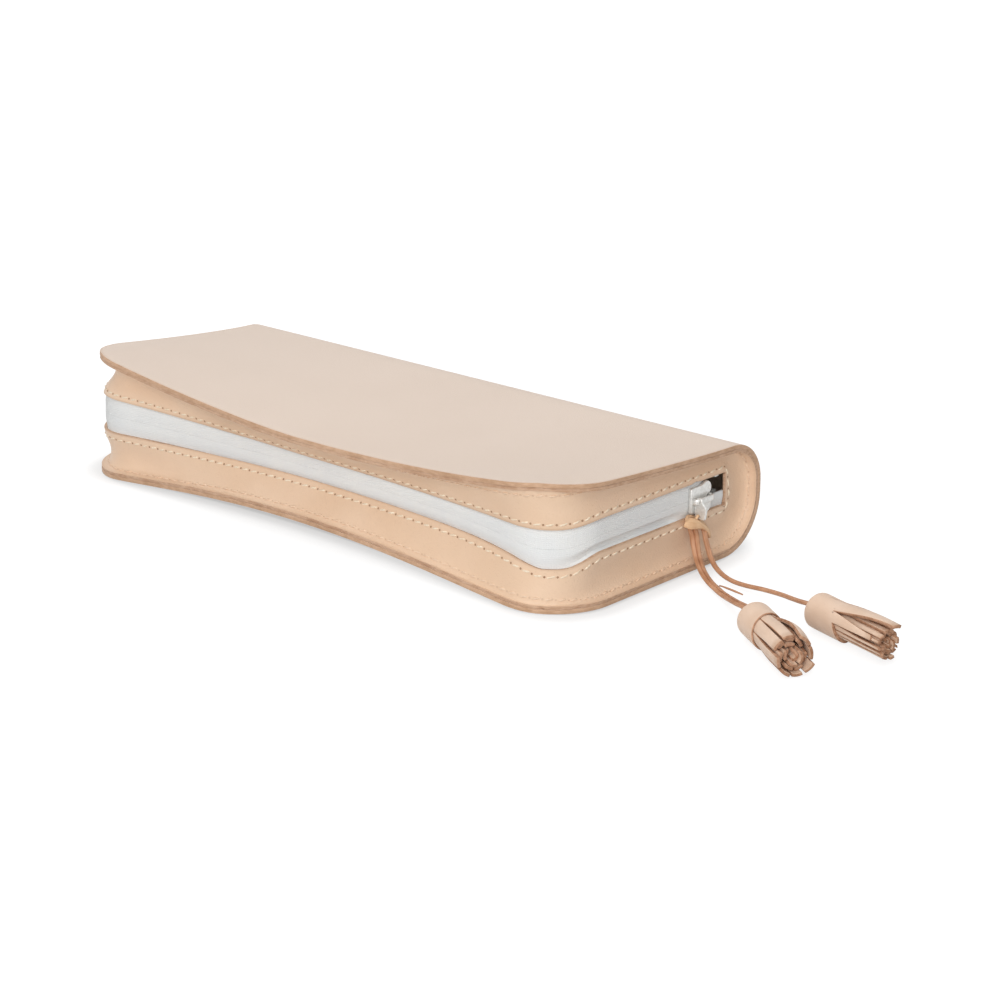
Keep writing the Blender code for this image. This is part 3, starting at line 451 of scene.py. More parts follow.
laceForm = {
    "bend": ((0.125, -0.003, 0.001), (0.0992, 0.0143, 0.0100)),
    "left": {
        "route": (
            (0.0989, 0.0132, 0.0132), (0.0990, 0.0138, 0.0116), (0.0992, 0.0143, 0.0100),
            (0.0995, 0.0143, 0.0084), (0.1001, 0.0140, 0.0067), (0.1011, 0.0133, 0.0051),
            (0.1026, 0.0121, 0.0040), (0.1044, 0.0106, 0.0032), (0.1065, 0.0089, 0.0026),
            (0.1092, 0.0070, 0.0020), (0.1121, 0.0053, 0.0015), (0.1152, 0.0037, 0.0012),
            (0.1186, 0.0017, 0.0012), (0.1222, -0.0008, 0.0018), (0.1260, -0.0038, 0.0028),
            (0.1313, -0.0080, 0.0043), (0.1366, -0.0118, 0.0057), (0.1400, -0.0141, 0.0058),
            (0.14233, -0.01554, 0.0054),
        ),
        "widths": (0.0027, 0.0027, 0.0024, 0.0022, 0.0022, 0.0023, 0.0023, 0.0024),
        "widthway": (0.55, 0.83, 0.10), "thick": 0.0010, "crease": 0.00036,
    },
    "right": {
        "route": (
            (0.0993, 0.0178, 0.0118), (0.1002, 0.0177, 0.0100), (0.1004, 0.0179, 0.0084),
            (0.1008, 0.0181, 0.0067), (0.1015, 0.0180, 0.0051), (0.1028, 0.0172, 0.0038),
            (0.1046, 0.0159, 0.0030), (0.1068, 0.0145, 0.0023), (0.1096, 0.0131, 0.0017),
            (0.1128, 0.0119, 0.0013), (0.1164, 0.0110, 0.0012), (0.1208, 0.0105, 0.0014),
            (0.1263, 0.0101, 0.0019), (0.1330, 0.0087, 0.0026), (0.1387, 0.0062, 0.0035),
            (0.1427, 0.0040, 0.0044), (0.1464, 0.0023, 0.0052), (0.1493, 0.00145, 0.0053),
            (0.15116, 0.00095, 0.0051),
        ),
        "widths": (0.0015, 0.0015, 0.0014, 0.0014, 0.0014, 0.0015), "widthway": (0.30, 0.95, 0.20),
        "thick": 0.0010, "crease": 0.00006,
    },
    "tag": {
        "route": (
            (0.1145, 0.0060, 0.0012), (0.1155, 0.0063, 0.0011), (0.1167, 0.0065, 0.0009),
            (0.1181, 0.0065, 0.0008), (0.1196, 0.0064, 0.0007), (0.1212, 0.0061, 0.0007),
            (0.1227, 0.0058, 0.0007),
        ),
        "widths": (0.0002, 0.0006, 0.0007, 0.0003), "widthway": (0.1, 0.9, 0.1), "thick": 0.00045,
        "crease": 0.0,
    },
}


def makeLace(side, company=None):
    form = laceForm[side]
    name = "lace" + side.title()
    path = smoothPath(form["route"])
    widths = spreadValues(form["widths"], len(path))
    piece = sweepStrip(name, path, form["widthway"], widths, form["thick"], crease=form["crease"])
    dress(piece, laceLeather)
    standFor(piece, ("lace_" + side,), "slider", "pull")
    if not company:
        return


# Form of the case, as in its CAD model

caseForm = {
    "halfLength": 0.100, "halfDepth": 0.0435, "corner": 0.020, "back": 0.0323,
    "frontHeights": (0.0398, 0.0312, 0.0368),  # left, middle, right, as all threes here
    "frontRise": 0.0058, "flatBase": -0.003, "upperBend": 0.0126, "lowerBend": 0.0160, "seam": 0.0186048,
    "sways": (1.5, 2.2), "slope": 1.35, "rise": 1.4, "lean": 0.0032, "leanHeight": 0.016, "leanPower": 4,
    "wrap": 0.0012, "gusset": 0.0009, "gap": 0.00005, "slotEnd": 0.0298,
    "spineBend": ((0, 0.0435, 0.0163), (0, 0.0435, 0.0225)),
}
slotForm = {
    "side": (0.0196048, 0.0047),  # middle and half height
    "middles": (0.0200048, 0.0194048, 0.0173048), "halves": (0.0056, 0.0036, 0.0056),
    "insets": (0.0014, 0.0083, 0.0026), "powers": (1.2, 6.0), "insetPowers": (2.0, 2.0),
    "lowerValleys": (0.0019, 0.0016),  # how much deeper the fold lies than the slot, left and right
    "upperValleys": (0.0038, 0.0016), "flange": 0.0011,
    "wallFrom": -0.088,  # left of this the gusset is folded, right of wallTo it is one slope
    "wallTo": -0.030,
    "foldEnd": 0.9,  # share of the corner
    "spineShare": 0.85,  # of the fan that ends on the cover's bend
    "wallRows": (  # share of the flange, share from there to the slot, height shares below and above the slot
        (0.0, 0.00, 0.00, 0.00), (0.5, 0.00, 0.00, 0.00), (1.0, 0.03, 0.03, 0.03), (1.0, 0.22, 0.17, 0.12),
        (1.0, 0.42, 0.36, 0.27), (1.0, 0.63, 0.57, 0.47), (1.0, 0.83, 0.79, 0.73), (1.0, 1.00, 1.00, 1.00),
    ),
    "rows": (  # share of the valley, share of the slot edge, height share
        (0.00, 0.00, 0.00), (0.42, 0.00, 0.02), (0.78, 0.00, 0.09), (0.97, 0.00, 0.24),
        (0.98, 0.02, 0.44), (0.68, 0.32, 0.64), (0.24, 0.76, 0.83), (0.00, 1.00, 1.00),
    ),
    "rowParts": 3,
}
halfLength = caseForm["halfLength"]
halfDepth = caseForm["halfDepth"]
corner = caseForm["corner"]
seam = caseForm["seam"]
slotEnd = caseForm["slotEnd"]
cornerX = halfLength - corner
cornerY = corner - halfDepth
foldStart = halfDepth - caseForm["upperBend"]
depthIn = caseForm["wrap"] + caseForm["gap"]


def clamp(value, low=0.0, high=1.0):
    return max(low, min(high, value))


def ease(value, low=0.0, high=1.0):
    # smoothly from 0 at low to 1 at high
    value = clamp((value - low) / (high - low))
    return value * value * (3 - 2 * value)


def swell(along, ends, powers):
    left, middle, right = ends
    if along < 0:
        return middle + (left - middle) * (-along) ** powers[0]
    return middle + (right - middle) * along ** powers[1]


def alongShare(x):
    return clamp(x / (halfLength - corner / 2), -1.0, 1.0)


def frontShare(y):
    return clamp((foldStart - y) / (foldStart + halfDepth))


def leanIn(point):
    weight = clamp(-point.x / halfLength) ** caseForm["leanPower"] * frontShare(point.y)
    shift = caseForm["lean"] * weight * (point.z - caseForm["leanHeight"]) / caseForm["frontHeights"][0]
    return Vector((point.x + shift, point.y, point.z))


def topHeight(x, y):
    front = swell(alongShare(x), caseForm["frontHeights"], caseForm["sways"])
    return caseForm["back"] + (front - caseForm["back"]) * frontShare(y) ** caseForm["slope"]


def baseHeight(x, y):
    lift = ease((caseForm["flatBase"] - y) / (caseForm["flatBase"] + halfDepth))
    return caseForm["frontRise"] * (1 - alongShare(x) ** 2) ** caseForm["rise"] * lift


def bendPoint(depth, angle, upper):
    bend = caseForm["upperBend"] if upper else caseForm["lowerBend"]
    radius = bend - depth
    y = halfDepth - bend + radius * math.sin(angle)
    if upper:
        return y, caseForm["back"] - bend + radius * math.cos(angle)
    return y, bend - radius * math.cos(angle)


# Cover: one leather from the lid's front edge round the spine to the bottom's front edge

coverForm = {
    "cornerSteps": 16, "frontSteps": 64, "flatSteps": 26, "bendSteps": 12, "spineSteps": 6,
    "softEdge": 0.00038, "ripple": 0.00004, "rippleScale": 46.0,
}


def rimDistance(x, y):
    # how far a place of the plan lies inside the three open edges
    if abs(x) > cornerX and y < cornerY:
        return corner - math.hypot(abs(x) - cornerX, y - cornerY)
    return min(halfLength - abs(x), y + halfDepth)


def coverLine(x):
    front = -halfDepth
    if abs(x) > cornerX:
        front = cornerY - math.sqrt(max(corner**2 - (abs(x) - cornerX) ** 2, 0.0))
    line = []
    for y in evenSteps(front, foldStart, coverForm["flatSteps"]):
        ripple = coverForm["ripple"] * noise.noise(Vector((x, y, 0.1)) * coverForm["rippleScale"])
        line.append((y, topHeight(x, y) + ripple))
    angles = evenSteps(0.0, math.pi / 2, coverForm["bendSteps"])[1:]
    line += [bendPoint(0.0, angle, True) for angle in angles]
    high = caseForm["back"] - caseForm["upperBend"]
    line += [(halfDepth, z) for z in evenSteps(high, caseForm["lowerBend"], coverForm["spineSteps"])[1:-1]]
    line += [bendPoint(0.0, angle, False) for angle in angles[::-1]]
    back = halfDepth - caseForm["lowerBend"]
    line += [(y, baseHeight(x, y)) for y in evenSteps(back, front, coverForm["flatSteps"])]
    return [leanIn(Vector((x, y, z))) for y, z in line]


def makeCover():
    angles = evenSteps(0.0, math.pi / 2, coverForm["cornerSteps"])[:0:-1]
    bent = [cornerX + corner * math.sin(angle) for angle in angles]
    straight = evenSteps(-cornerX, cornerX, coverForm["frontSteps"])
    stations = [-x for x in bent] + straight + bent[::-1]
    points = [coverLine(x) for x in stations]
    tags = {"rimNear": [[rimDistance(x, point.y) for point in line] for x, line in zip(stations, points)]}
    piece = gridPiece("coverLeather", points, tags)
    dress(piece, coverLeather, burnishedEdge, fleshSide)
    thicken(piece, caseForm["wrap"], coverForm["softEdge"], 3, 50, inner=2, edge=1)
    smooth(piece, 35)
    standFor(piece, ("wrap_bottom", "wrap_top"), "base", "lid")


makeCover()
print("cover made")

# Gusset: one moulded leather with the slot for the zip

gussetForm = {
    "sideSteps": 24, "cornerSteps": 20, "frontSteps": 72, "fanSteps": 16, "softEdge": 0.00022,
    "weld": 0.0004, "wobble": 0.00020, "wobbleAt": 0.004, "slowScale": 70.0, "quickScale": 210.0,
    "quickShare": 0.35, "quickShift": (3.1, 0.7, 5.2),
}


def rimStations(form):
    # place and outward direction along the three open edges
    right = [(halfLength, y, 1.0, 0.0) for y in evenSteps(slotEnd, cornerY, form["sideSteps"])[:-1]]
    for angle in evenSteps(0.0, math.pi / 2, form["cornerSteps"])[:-1]:
        nx = math.cos(angle)
        ny = -math.sin(angle)
        right.append((cornerX + corner * nx, cornerY + corner * ny, nx, ny))
    front = [(x, -halfDepth, 0.0, -1.0) for x in evenSteps(-cornerX, cornerX, form["frontSteps"])]
    return [(-x, y, -nx, ny) for x, y, nx, ny in right] + front + right[::-1]


def slotSizes(x, y):
    along = alongShare(x)
    turn = ease((cornerY - y) / (corner * math.sin(math.pi / 4)))
    sizes = []
    for side, ends in zip(slotForm["side"], (slotForm["middles"], slotForm["halves"])):
        sizes.append(side + (swell(along, ends, slotForm["powers"]) - side) * turn)
    return (*sizes, swell(along, slotForm["insets"], slotForm["insetPowers"]))


def edgeHeight(x, y, upper):
    middle, half, _ = slotSizes(x, y)
    return middle + half if upper else middle - half


def faceHeight(x, y, upper):
    # inner face of the cover
    return topHeight(x, y) - depthIn if upper else baseHeight(x, y) + depthIn


def wallShare(x, y):
    # 0 where the gusset is folded inwards like bellows, 1 where it is one slope
    if x < 0:
        return ease(x, slotForm["wallFrom"], slotForm["wallTo"])
    return ease((cornerY - y) / (corner * slotForm["foldEnd"]))


def fanEnds(station, fan, upper):
    # foot on the cover's inner face and tip on the slot's end
    edge = edgeHeight(station[0], station[1], upper)
    bend = caseForm["upperBend"] if upper else caseForm["lowerBend"]
    first = math.asin(clamp((slotEnd - (halfDepth - bend)) / (bend - depthIn)))
    bent = slotForm["spineShare"]
    if fan < bent:
        foot = bendPoint(depthIn, first + (math.pi / 2 - first) * (fan / bent), upper)
    else:
        start = bendPoint(depthIn, math.pi / 2, upper)[1]
        foot = (halfDepth - depthIn, start + (seam - start) * (fan - bent) / (1 - bent))
    return foot, (slotEnd, edge + (seam - edge) * fan)


def reachAt(station, fan, upper):
    x, y = station[:2]
    if fan:
        foot, tip = fanEnds(station, fan, upper)
        return math.hypot(foot[0] - tip[0], foot[1] - tip[1])
    return abs(faceHeight(x, y, upper) - edgeHeight(x, y, upper))


def sectionProfile(station, fan, upper, offset):
    # the section from rim to slot edge as (inset, height share), offset along its own normal
    x, y = station[:2]
    slot = slotSizes(x, y)[2]
    lower = slotForm["lowerValleys"][x > 0]
    valley = slotForm["upperValleys"][x > 0] if upper else lower
    waist = slot + lower + (1 - fan) * (valley - lower)
    flange = slotForm["flange"]
    wall = 0.0 if fan else wallShare(x, y)
    reach = reachAt(station, fan, upper)
    half = caseForm["gusset"] / 2
    centre = []
    for folded, straight in zip(slotForm["rows"], slotForm["wallRows"]):
        inset = folded[0] * waist + folded[1] * slot
        inset += (straight[0] * flange + straight[1] * (slot - flange) - inset) * wall
        height = folded[2] + (straight[3 if upper else 2] - folded[2]) * wall
        centre.append(Vector((inset, half + height * (reach - half))))
    centre = smoothPath(centre, slotForm["rowParts"])
    moved = []
    for row, point in enumerate(centre):
        run = centre[min(row + 1, len(centre) - 1)] - centre[max(row - 1, 0)]
        if row == 0:
            run = Vector((1.0, 0.0))
        run.normalize()
        moved.append((point.x - offset * run.y, (point.y + offset * run.x) / reach))
    return moved


def placeOn(station, fan, inset, share, upper):
    x, y, nx, ny = station
    if fan:
        foot, tip = fanEnds(station, fan, upper)
        spot = (x - nx * inset, foot[0] + (tip[0] - foot[0]) * share, foot[1] + (tip[1] - foot[1]) * share)
        return leanIn(Vector(spot))
    px = x - nx * inset
    py = y - ny * inset
    face = faceHeight(px, py, upper)
    return leanIn(Vector((px, py, face + (edgeHeight(x, y, upper) - face) * share)))


def sectionList(form):
    stations = rimStations(form)
    fans = evenSteps(0.0, 1.0, form["fanSteps"])[1:]
    left = [(stations[0], fan) for fan in fans[::-1]]
    return left + [(station, 0.0) for station in stations] + [(stations[-1], fan) for fan in fans]


def gussetOffset(station, fan, share, upper):
    # the hand-moulded leather is never quite even
    spot = placeOn(station, fan, gussetForm["wobbleAt"], share, upper)
    quick = noise.noise(spot * gussetForm["quickScale"] + Vector(gussetForm["quickShift"]))
    uneven = noise.noise(spot * gussetForm["slowScale"]) + gussetForm["quickShare"] * quick
    return gussetForm["wobble"] * uneven * math.sin(math.pi * clamp(share)) ** 2


def gussetPoints(upper):
    tables = [], [], []  # points, how far from the rim, how far from the slot (for the painted shade along it)
    for station, fan in sectionList(gussetForm):
        line = []
        for inset, share in sectionProfile(station, fan, upper, caseForm["gusset"] / 2):
            inset += gussetOffset(station, fan, share, upper)
            line.append(placeOn(station, fan, inset, share, upper))
        gone = lengthsOf(line)
        for table, values in zip(tables, (line, gone, [gone[-1] - value for value in gone])):
            table.append(values[::-1] if upper else values)
    return tables[0], {"rimNear": tables[1], "slotShadeDistance": tables[2]}


def makeGusset():
    halves = [gridPiece("gussetHalf", *gussetPoints(upper)) for upper in (False, True)]
    piece = joinUp("gussetLeather", halves)
    weld(piece, outwards=False, threshold=gussetForm["weld"])
    dress(piece, gussetLeather, slotEdge, fleshSide)
    thicken(piece, caseForm["gusset"], gussetForm["softEdge"], 2, 60, inner=2, edge=1)
    smooth(piece, 35)
    standFor(piece, ("gusset_lower", "gusset_upper"), "base", "lid")


makeGusset()
print("gusset made")

# Tapes of the zip

tapeForm = {
    "sideSteps": 40, "cornerSteps": 16, "frontSteps": 60, "thick": 0.0006, "bulge": 0.0004,
    "endGap": 0.0004, "slit": 0.00002, "rows": 9, "hiddenRows": (15, 17, 19, 21),
    "bulgeShare": 2.2,  # how soon the upper tape comes forward
    "foldShare": 0.62,  # where the lower tape comes forward
    "foldDepth": 0.0011, "foldRows": (0.34, 0.60), "foldEnds": (0.0120, 0.0040),
    "parting": (0.0188, 0.0226),  # the tapes part here, inside the slider
    "partUpper": 0.0045, "foldIn": 0.0022, "partLower": 0.0006,
}


def slitHalf(x, y, upper):
    if x < 0:
        return tapeForm["slit"]
    wide = tapeForm["partUpper"] if upper else tapeForm["partLower"]
    return tapeForm["slit"] + (wide - tapeForm["slit"]) * ease(y, *tapeForm["parting"])


def chainStations(form):
    stations = [list(station) for station in rimStations(form)]
    stations[0][1] = stations[-1][1] = slotEnd - form["endGap"]
    return stations


def tapePoints(upper):
    facing = 1 if upper else -1
    hidden = -caseForm["gusset"] / 2 - caseForm["gap"]
    points = []
    for station in chainStations(tapeForm):
        x, y, nx, ny = station
        middle, half, slot = slotSizes(x, y)
        profile = sectionProfile(station, 0.0, upper, hidden)
        line = [placeOn(station, 0.0, *profile[row], upper) for row in tapeForm["hiddenRows"]]
        edge = profile[-1][0]
        front = slot + tapeForm["bulge"] - tapeForm["thick"] / 2
        slit = slitHalf(x, y, upper)
        parted = clamp(slit / tapeForm["partUpper"]) if upper else 0.0
        for share in evenSteps(0.0, 1.0, tapeForm["rows"])[1:]:
            out = ease(share * tapeForm["bulgeShare"]) if upper else ease(share / tapeForm["foldShare"])
            inset = edge + (front - edge) * out * (1 - parted) + tapeForm["foldIn"] * parted * share
            if not upper and x > 0:
                folded = (1 - ease(share, *tapeForm["foldRows"])) * ease(y, *tapeForm["foldEnds"])
                inset += tapeForm["foldDepth"] * folded * (1 - wallShare(x, y))
            rise = half + (slit - half) * share
            line.append(leanIn(Vector((x - nx * inset, y - ny * inset, middle + facing * rise))))
        points.append(line[::-1] if upper else line)
    return points


def makeTape(side, body):
    piece = gridPiece("zipTape" + side.title(), tapePoints(side == "upper"))
    dress(piece, wovenTape)
    shape(piece, "SOLIDIFY", thickness=tapeForm["thick"], offset=-1.0)
    smooth(piece)
    standFor(piece, ("zip_tape_" + side,), body)


for side, body in (("lower", "base"), ("upper", "lid")):
    makeTape(side, body)
print("tapes made")

# Coils, which face the inside

coilForm = {
    "sideSteps": 12, "cornerSteps": 10, "frontSteps": 16, "pitch": 0.0013, "wire": 0.00032,
    "half": 0.00085,  # half the coil's depth, through the tape
    "width": 0.0024, "flatness": 0.7, "overlap": 0.0004, "back": 0.0030, "partIn": 0.0014, "endGap": 0.0040,
    "perTurn": 8, "smooth": 60, "sides": 5,
}


def coilLine(upper):
    facing = 1 if upper else -1
    line = []
    for x, y, nx, ny in chainStations(coilForm):
        middle, _, slot = slotSizes(x, y)
        opened = slitHalf(x, y, upper) - tapeForm["slit"]
        parted = clamp(opened / tapeForm["partUpper"]) if upper else 0.0
        inset = slot + coilForm["back"] + coilForm["partIn"] * parted
        z = middle + facing * ((coilForm["width"] / 2 - coilForm["overlap"]) * (1 - parted) + opened)
        line.append((leanIn(Vector((x - nx * inset, y - ny * inset, z))), Vector((-nx, -ny, 0.0))))
    return line


def walkLine(line, step, start):
    # places along a line at even steps, each with its blended direction
    made = []
    gone = 0.0
    aim = start
    for (a, inA), (b, inB) in zip(line, line[1:]):
        length = (b - a).length
        while aim <= gone + length:
            share = (aim - gone) / length
            made.append((a.lerp(b, share), inA.lerp(inB, share).normalized(), (b - a).normalized()))
            aim += step
        gone += length
    return made


def makeCoil(side, body):
    upper = side == "upper"
    per = coilForm["perTurn"]
    places = walkLine(coilLine(upper), coilForm["pitch"] / per, 0.5 * coilForm["pitch"] if upper else 0.0)
    path = []
    for index, (point, inwards, _) in enumerate(places):
        angle = 2 * math.pi * index / per
        flat = math.copysign(abs(math.cos(angle)) ** coilForm["flatness"], math.cos(angle))
        deep = math.sin(angle) * (coilForm["half"] - coilForm["wire"])
        path.append(point + Vector((0, 0, flat * coilForm["width"] / 2)) + inwards * deep)
    angles = evenSteps(0.0, 2 * math.pi, coilForm["sides"])[:-1]
    rings = []
    for i, point in enumerate(path):
        ahead = (path[min(i + 1, len(path) - 1)] - path[max(i - 1, 0)]).normalized()
        wide = ahead.orthogonal() if abs(ahead.z) > 0.999 else ahead.cross(Vector((0, 0, 1)))
        wide.normalize()
        high = wide.cross(ahead)
        ways = [wide * math.cos(angle) + high * math.sin(angle) for angle in angles]
        rings.append([point + way * coilForm["wire"] for way in ways])
    piece = tubePiece("zipCoil" + side.title(), rings, coilForm["smooth"])
    dress(piece, nylon)
    standFor(piece, ("zip_coil_" + side,), body)


for side, body in (("lower", "base"), ("upper", "lid")):
    makeCoil(side, body)
print("coils made")

# Stitches

stitchForm = {
    "sideSteps": 30, "cornerSteps": 20, "frontSteps": 100, "fanSteps": 12, "pitch": 0.00356,
    "thread": 0.00027, "threadSteps": 7, "threadSides": 6, "smooth": 60, "flatness": 1.15, "endShare": 0.45,
    "sink": 0.00006, "hole": 0.00032, "holeSides": 10, "holeLift": 0.00004, "lift": 0.00016,
    "slant": 0.00022,
    "reach": 0.60,  # share of the pitch that the thread shows
    "feel": 0.001,  # how far out the normal is measured
}


def walkProfile(profile, reach, distance):
    for (insetA, shareA), (insetB, shareB) in zip(profile, profile[1:]):
        step = math.hypot(insetB - insetA, (shareB - shareA) * reach)
        if distance <= step:
            part = distance / step
            return insetA + (insetB - insetA) * part, shareA + (shareB - shareA) * part
        distance -= step
    return profile[-1]


def rowLine(upper, fromRim, distance):
    half = caseForm["gusset"] / 2
    line = []
    for station, fan in sectionList(stitchForm):
        reach = reachAt(station, fan, upper)
        spots = []
        for offset in (half, half + stitchForm["feel"]):
            profile = sectionProfile(station, fan, upper, offset)
            inset, share = walkProfile(profile if fromRim else profile[::-1], reach, distance)
            inset += gussetOffset(station, fan, share, upper)
            spots.append(placeOn(station, fan, inset, share, upper))
        line.append((spots[0], (spots[1] - spots[0]).normalized()))
    return line


def stitchTemplate(materials):
    # one stitch, of unit length along X, with its crown in Z
    rings = []
    for share in evenSteps(0.0, 1.0, stitchForm["threadSteps"]):
        slope = math.sin(math.pi * share)
        thick = stitchForm["thread"] * (stitchForm["endShare"] + (1 - stitchForm["endShare"]) * slope**0.5)
        ring = []
        for angle in evenSteps(0.0, 2 * math.pi, stitchForm["threadSides"])[:-1]:
            y = math.cos(angle) * thick * stitchForm["flatness"] + stitchForm["slant"] * (2 * share - 1)
            z = math.sin(angle) * thick + stitchForm["lift"] * slope - stitchForm["sink"]
            ring.append(Vector((share - 0.5, y, z)))
        rings.append(ring)
    piece = tubePiece("stitch", rings, stitchForm["smooth"])
    dress(piece, *materials)
    return piece


def holeTemplate(materials):
    # a flat disc on each hole, whose darker colour is painted shade of the hole
    pick()
    sides = stitchForm["holeSides"]
    bpy.ops.mesh.primitive_circle_add(vertices=sides, radius=stitchForm["hole"], fill_type="TRIFAN")
    piece = nameIt(bpy.context.object, "hole")
    dress(piece, *materials)
    for face in piece.data.polygons:
        face.material_index = 1
    return piece


def makeStitches(row, fromRim, insets, materials):
    lower, upper = (rowLine(half, fromRim, inset) for half, inset in zip((False, True), insets))
    line = lower + upper[::-1] + [lower[0]]
    total = lengthsOf([point for point, _ in line])[-1]
    count = round(total / stitchForm["pitch"])
    pitch = total / count
    stitch = stitchTemplate(materials)
    hole = holeTemplate(materials)
    copies = []
    for index, (point, normal, ahead) in enumerate(walkLine(line, pitch / 2, 0.0)[: 2 * count]):
        side = normal.cross(ahead).normalized()
        up = ahead.cross(side)
        base = Matrix((ahead, side, up)).transposed().to_4x4()
        template, lift, length = hole, stitchForm["holeLift"], 1.0
        if index % 2:
            template, lift, length = stitch, 0.0, pitch * stitchForm["reach"]
        place = Matrix.Translation(point + up * lift) @ base @ Matrix.Diagonal((length, 1, 1, 1))
        copied = template.copy()
        copied.data = template.data.copy()
        copied.data.transform(place)
        bpy.context.collection.objects.link(copied)
        copies.append(copied)
    piece = joinUp(row + "Stitches", copies)
    for template in (stitch, hole):
        bpy.data.objects.remove(template)
    nodes = (row + "_thread_lower", row + "_thread_upper")
    standFor(piece, nodes, "base", "lid")


makeStitches("slot", False, (0.0020, 0.0015), (waxedThread, needleHoleShade))
makeStitches("rim", True, (0.0024, 0.0024), (rimThread, pressedHoleShade))
print("stitches made")

# Slider and pull tab

sliderForm = {
    "middle": 0.0196048,
    "plate": (  # points, and arcs with radius, start, end and steps; heights are from the middle
        (0.020484, 0.002484, 0.002116, 95, -35, 6), (0.019955, 0.0),
        (0.020484, -0.002484, 0.002116, 35, -95, 6), (0.0185, -0.0038),
        (0.0141, -0.0031, 0.0006, -90, -180, 3), (0.0141, 0.0031, 0.0006, 180, 90, 3),
        (0.0185, 0.0038),
    ),
    "post": (
        (0.0194, -0.0003), (0.0200, -0.0006), (0.0214, -0.0003), (0.0214, 0.0003), (0.0200, 0.0006),
        (0.0194, 0.0003),
    ),
    "flange": (
        (0.0135, 0.0030), (0.0186, 0.0030), (0.0216, 0.0035), (0.0216, 0.0042), (0.0186, 0.0037),
        (0.0135, 0.0037),
    ),
    "parts": (  # name, outline, side, from, to, softness
        ("sliderPlate", "plate", 1, 0.0974, 0.0985, 0.00028),
        ("sliderBack", "plate", 1, 0.0911, 0.0920, 0.0002), ("sliderPost", "post", 1, 0.0915, 0.0978, 0.0),
        ("sliderFlange", "flange", -1, 0.0919, 0.0941, 0.0001),
        ("sliderFlange", "flange", 1, 0.0919, 0.0941, 0.0001),
    ),
    "bridge": (  # a rounded bar bent down to the plate at both ends
        (0.0983, 0.0142), (0.0990, 0.0142), (0.0998, 0.0145), (0.1001, 0.0153), (0.1001, 0.0179),
        (0.1001, 0.0203), (0.0997, 0.0213), (0.0990, 0.0217), (0.0983, 0.0219),
    ),
    "barWidth": 0.0018, "barThick": 0.0009,
}
tabForm = {
    "outline": (
        (0.1001, 0.0, 0.00125, 180, 0, 10), (0.10225, -0.0008), (0.10275, -0.0018),
        (0.10175, -0.0043, 0.0006, 0, -90, 4), (0.09935, -0.0044, 0.0005, -90, -180, 4),
    ),
    "levels": (0.0147, 0.0155), "soft": 0.00018,
    "holes": ((0.1001, 0.0, 0.00056, 0, 345, 23), (0.10005, -0.0040, 0.00055, 0, 345, 23)),
    "holeLevels": (0.0137, 0.0165),
}


def outlineSpots(outline, side):
    spots = []
    for a, b, *arc in outline:
        if arc:
            radius, start, end, steps = arc
            turns = [math.radians(angle) for angle in evenSteps(start, end, steps)]
            spots += [(a + radius * math.cos(turn), b + radius * math.sin(turn)) for turn in turns]
        else:
            spots.append((a, b))
    return [(a, sliderForm["middle"] + side * b) for a, b in spots]


def outlinePiece(name, outline, levels, axis="X", side=1, soft=0.0):
    # a flat outline moved from a plain circle, drawn out to its thickness, with softened edges
    spots = outlineSpots(outline, side)
    low, high = levels
    if axis == "X":
        places = [Vector((low, a, b)) for a, b in spots]
        way = (high - low, 0, 0)
    else:
        places = [Vector((a, low, b)) for a, b in spots]
        way = (0, high - low, 0)
    pick()
    bpy.ops.mesh.primitive_circle_add(vertices=len(spots), radius=1.0, fill_type="NGON")
    piece = nameIt(bpy.context.object, name)
    for vertex, place in zip(piece.data.vertices, places):
        vertex.co = place
    bpy.ops.object.mode_set(mode="EDIT")
    bpy.ops.mesh.select_all(action="SELECT")
    bpy.ops.mesh.extrude_region_move(TRANSFORM_OT_translate={"value": way})
    bpy.ops.mesh.select_all(action="SELECT")
    bpy.ops.mesh.normals_make_consistent(inside=False)
    bpy.ops.object.mode_set(mode="OBJECT")
    if soft:
        shape(piece, "BEVEL", width=soft, segments=3, angle_limit=math.radians(40))
    smooth(piece)
    return piece


def makeSlider():
    parts = []
    for name, outline, side, *levels, soft in sliderForm["parts"]:
        parts.append(outlinePiece(name, sliderForm[outline], levels, side=side, soft=soft))
    curve = smoothPath([(x, y, sliderForm["middle"]) for x, y in sliderForm["bridge"]])
    parts.append(sweepStrip("sliderBridge", curve, (0, 0, 1), sliderForm["barWidth"], sliderForm["barThick"]))
    piece = joinUp("sliderBody", parts)
    dress(piece, nickel)
    standFor(piece, ("slider_body",), "slider")


def makeTab():
    piece = outlinePiece("pullTab", tabForm["outline"], tabForm["levels"], "Y", soft=tabForm["soft"])
    for hole in tabForm["holes"]:
        cutter = outlinePiece("cutter", (hole,), tabForm["holeLevels"], "Y")
        shape(piece, "BOOLEAN", object=cutter, operation="DIFFERENCE", solver="EXACT")
        bpy.data.objects.remove(cutter)
    smooth(piece)
    dress(piece, nickel)
    standFor(piece, ("pull_tab",), "pull")


makeSlider()
makeTab()
for node in ("top_stop_lower", "bottom_stop"):
    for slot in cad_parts[node].material_slots:
        slot.material = nickel

stopForm = {
    "place": 0.0277, "width": 0.0018, "reach": 0.0015, "half": 0.0008, "thick": 0.0004,
}


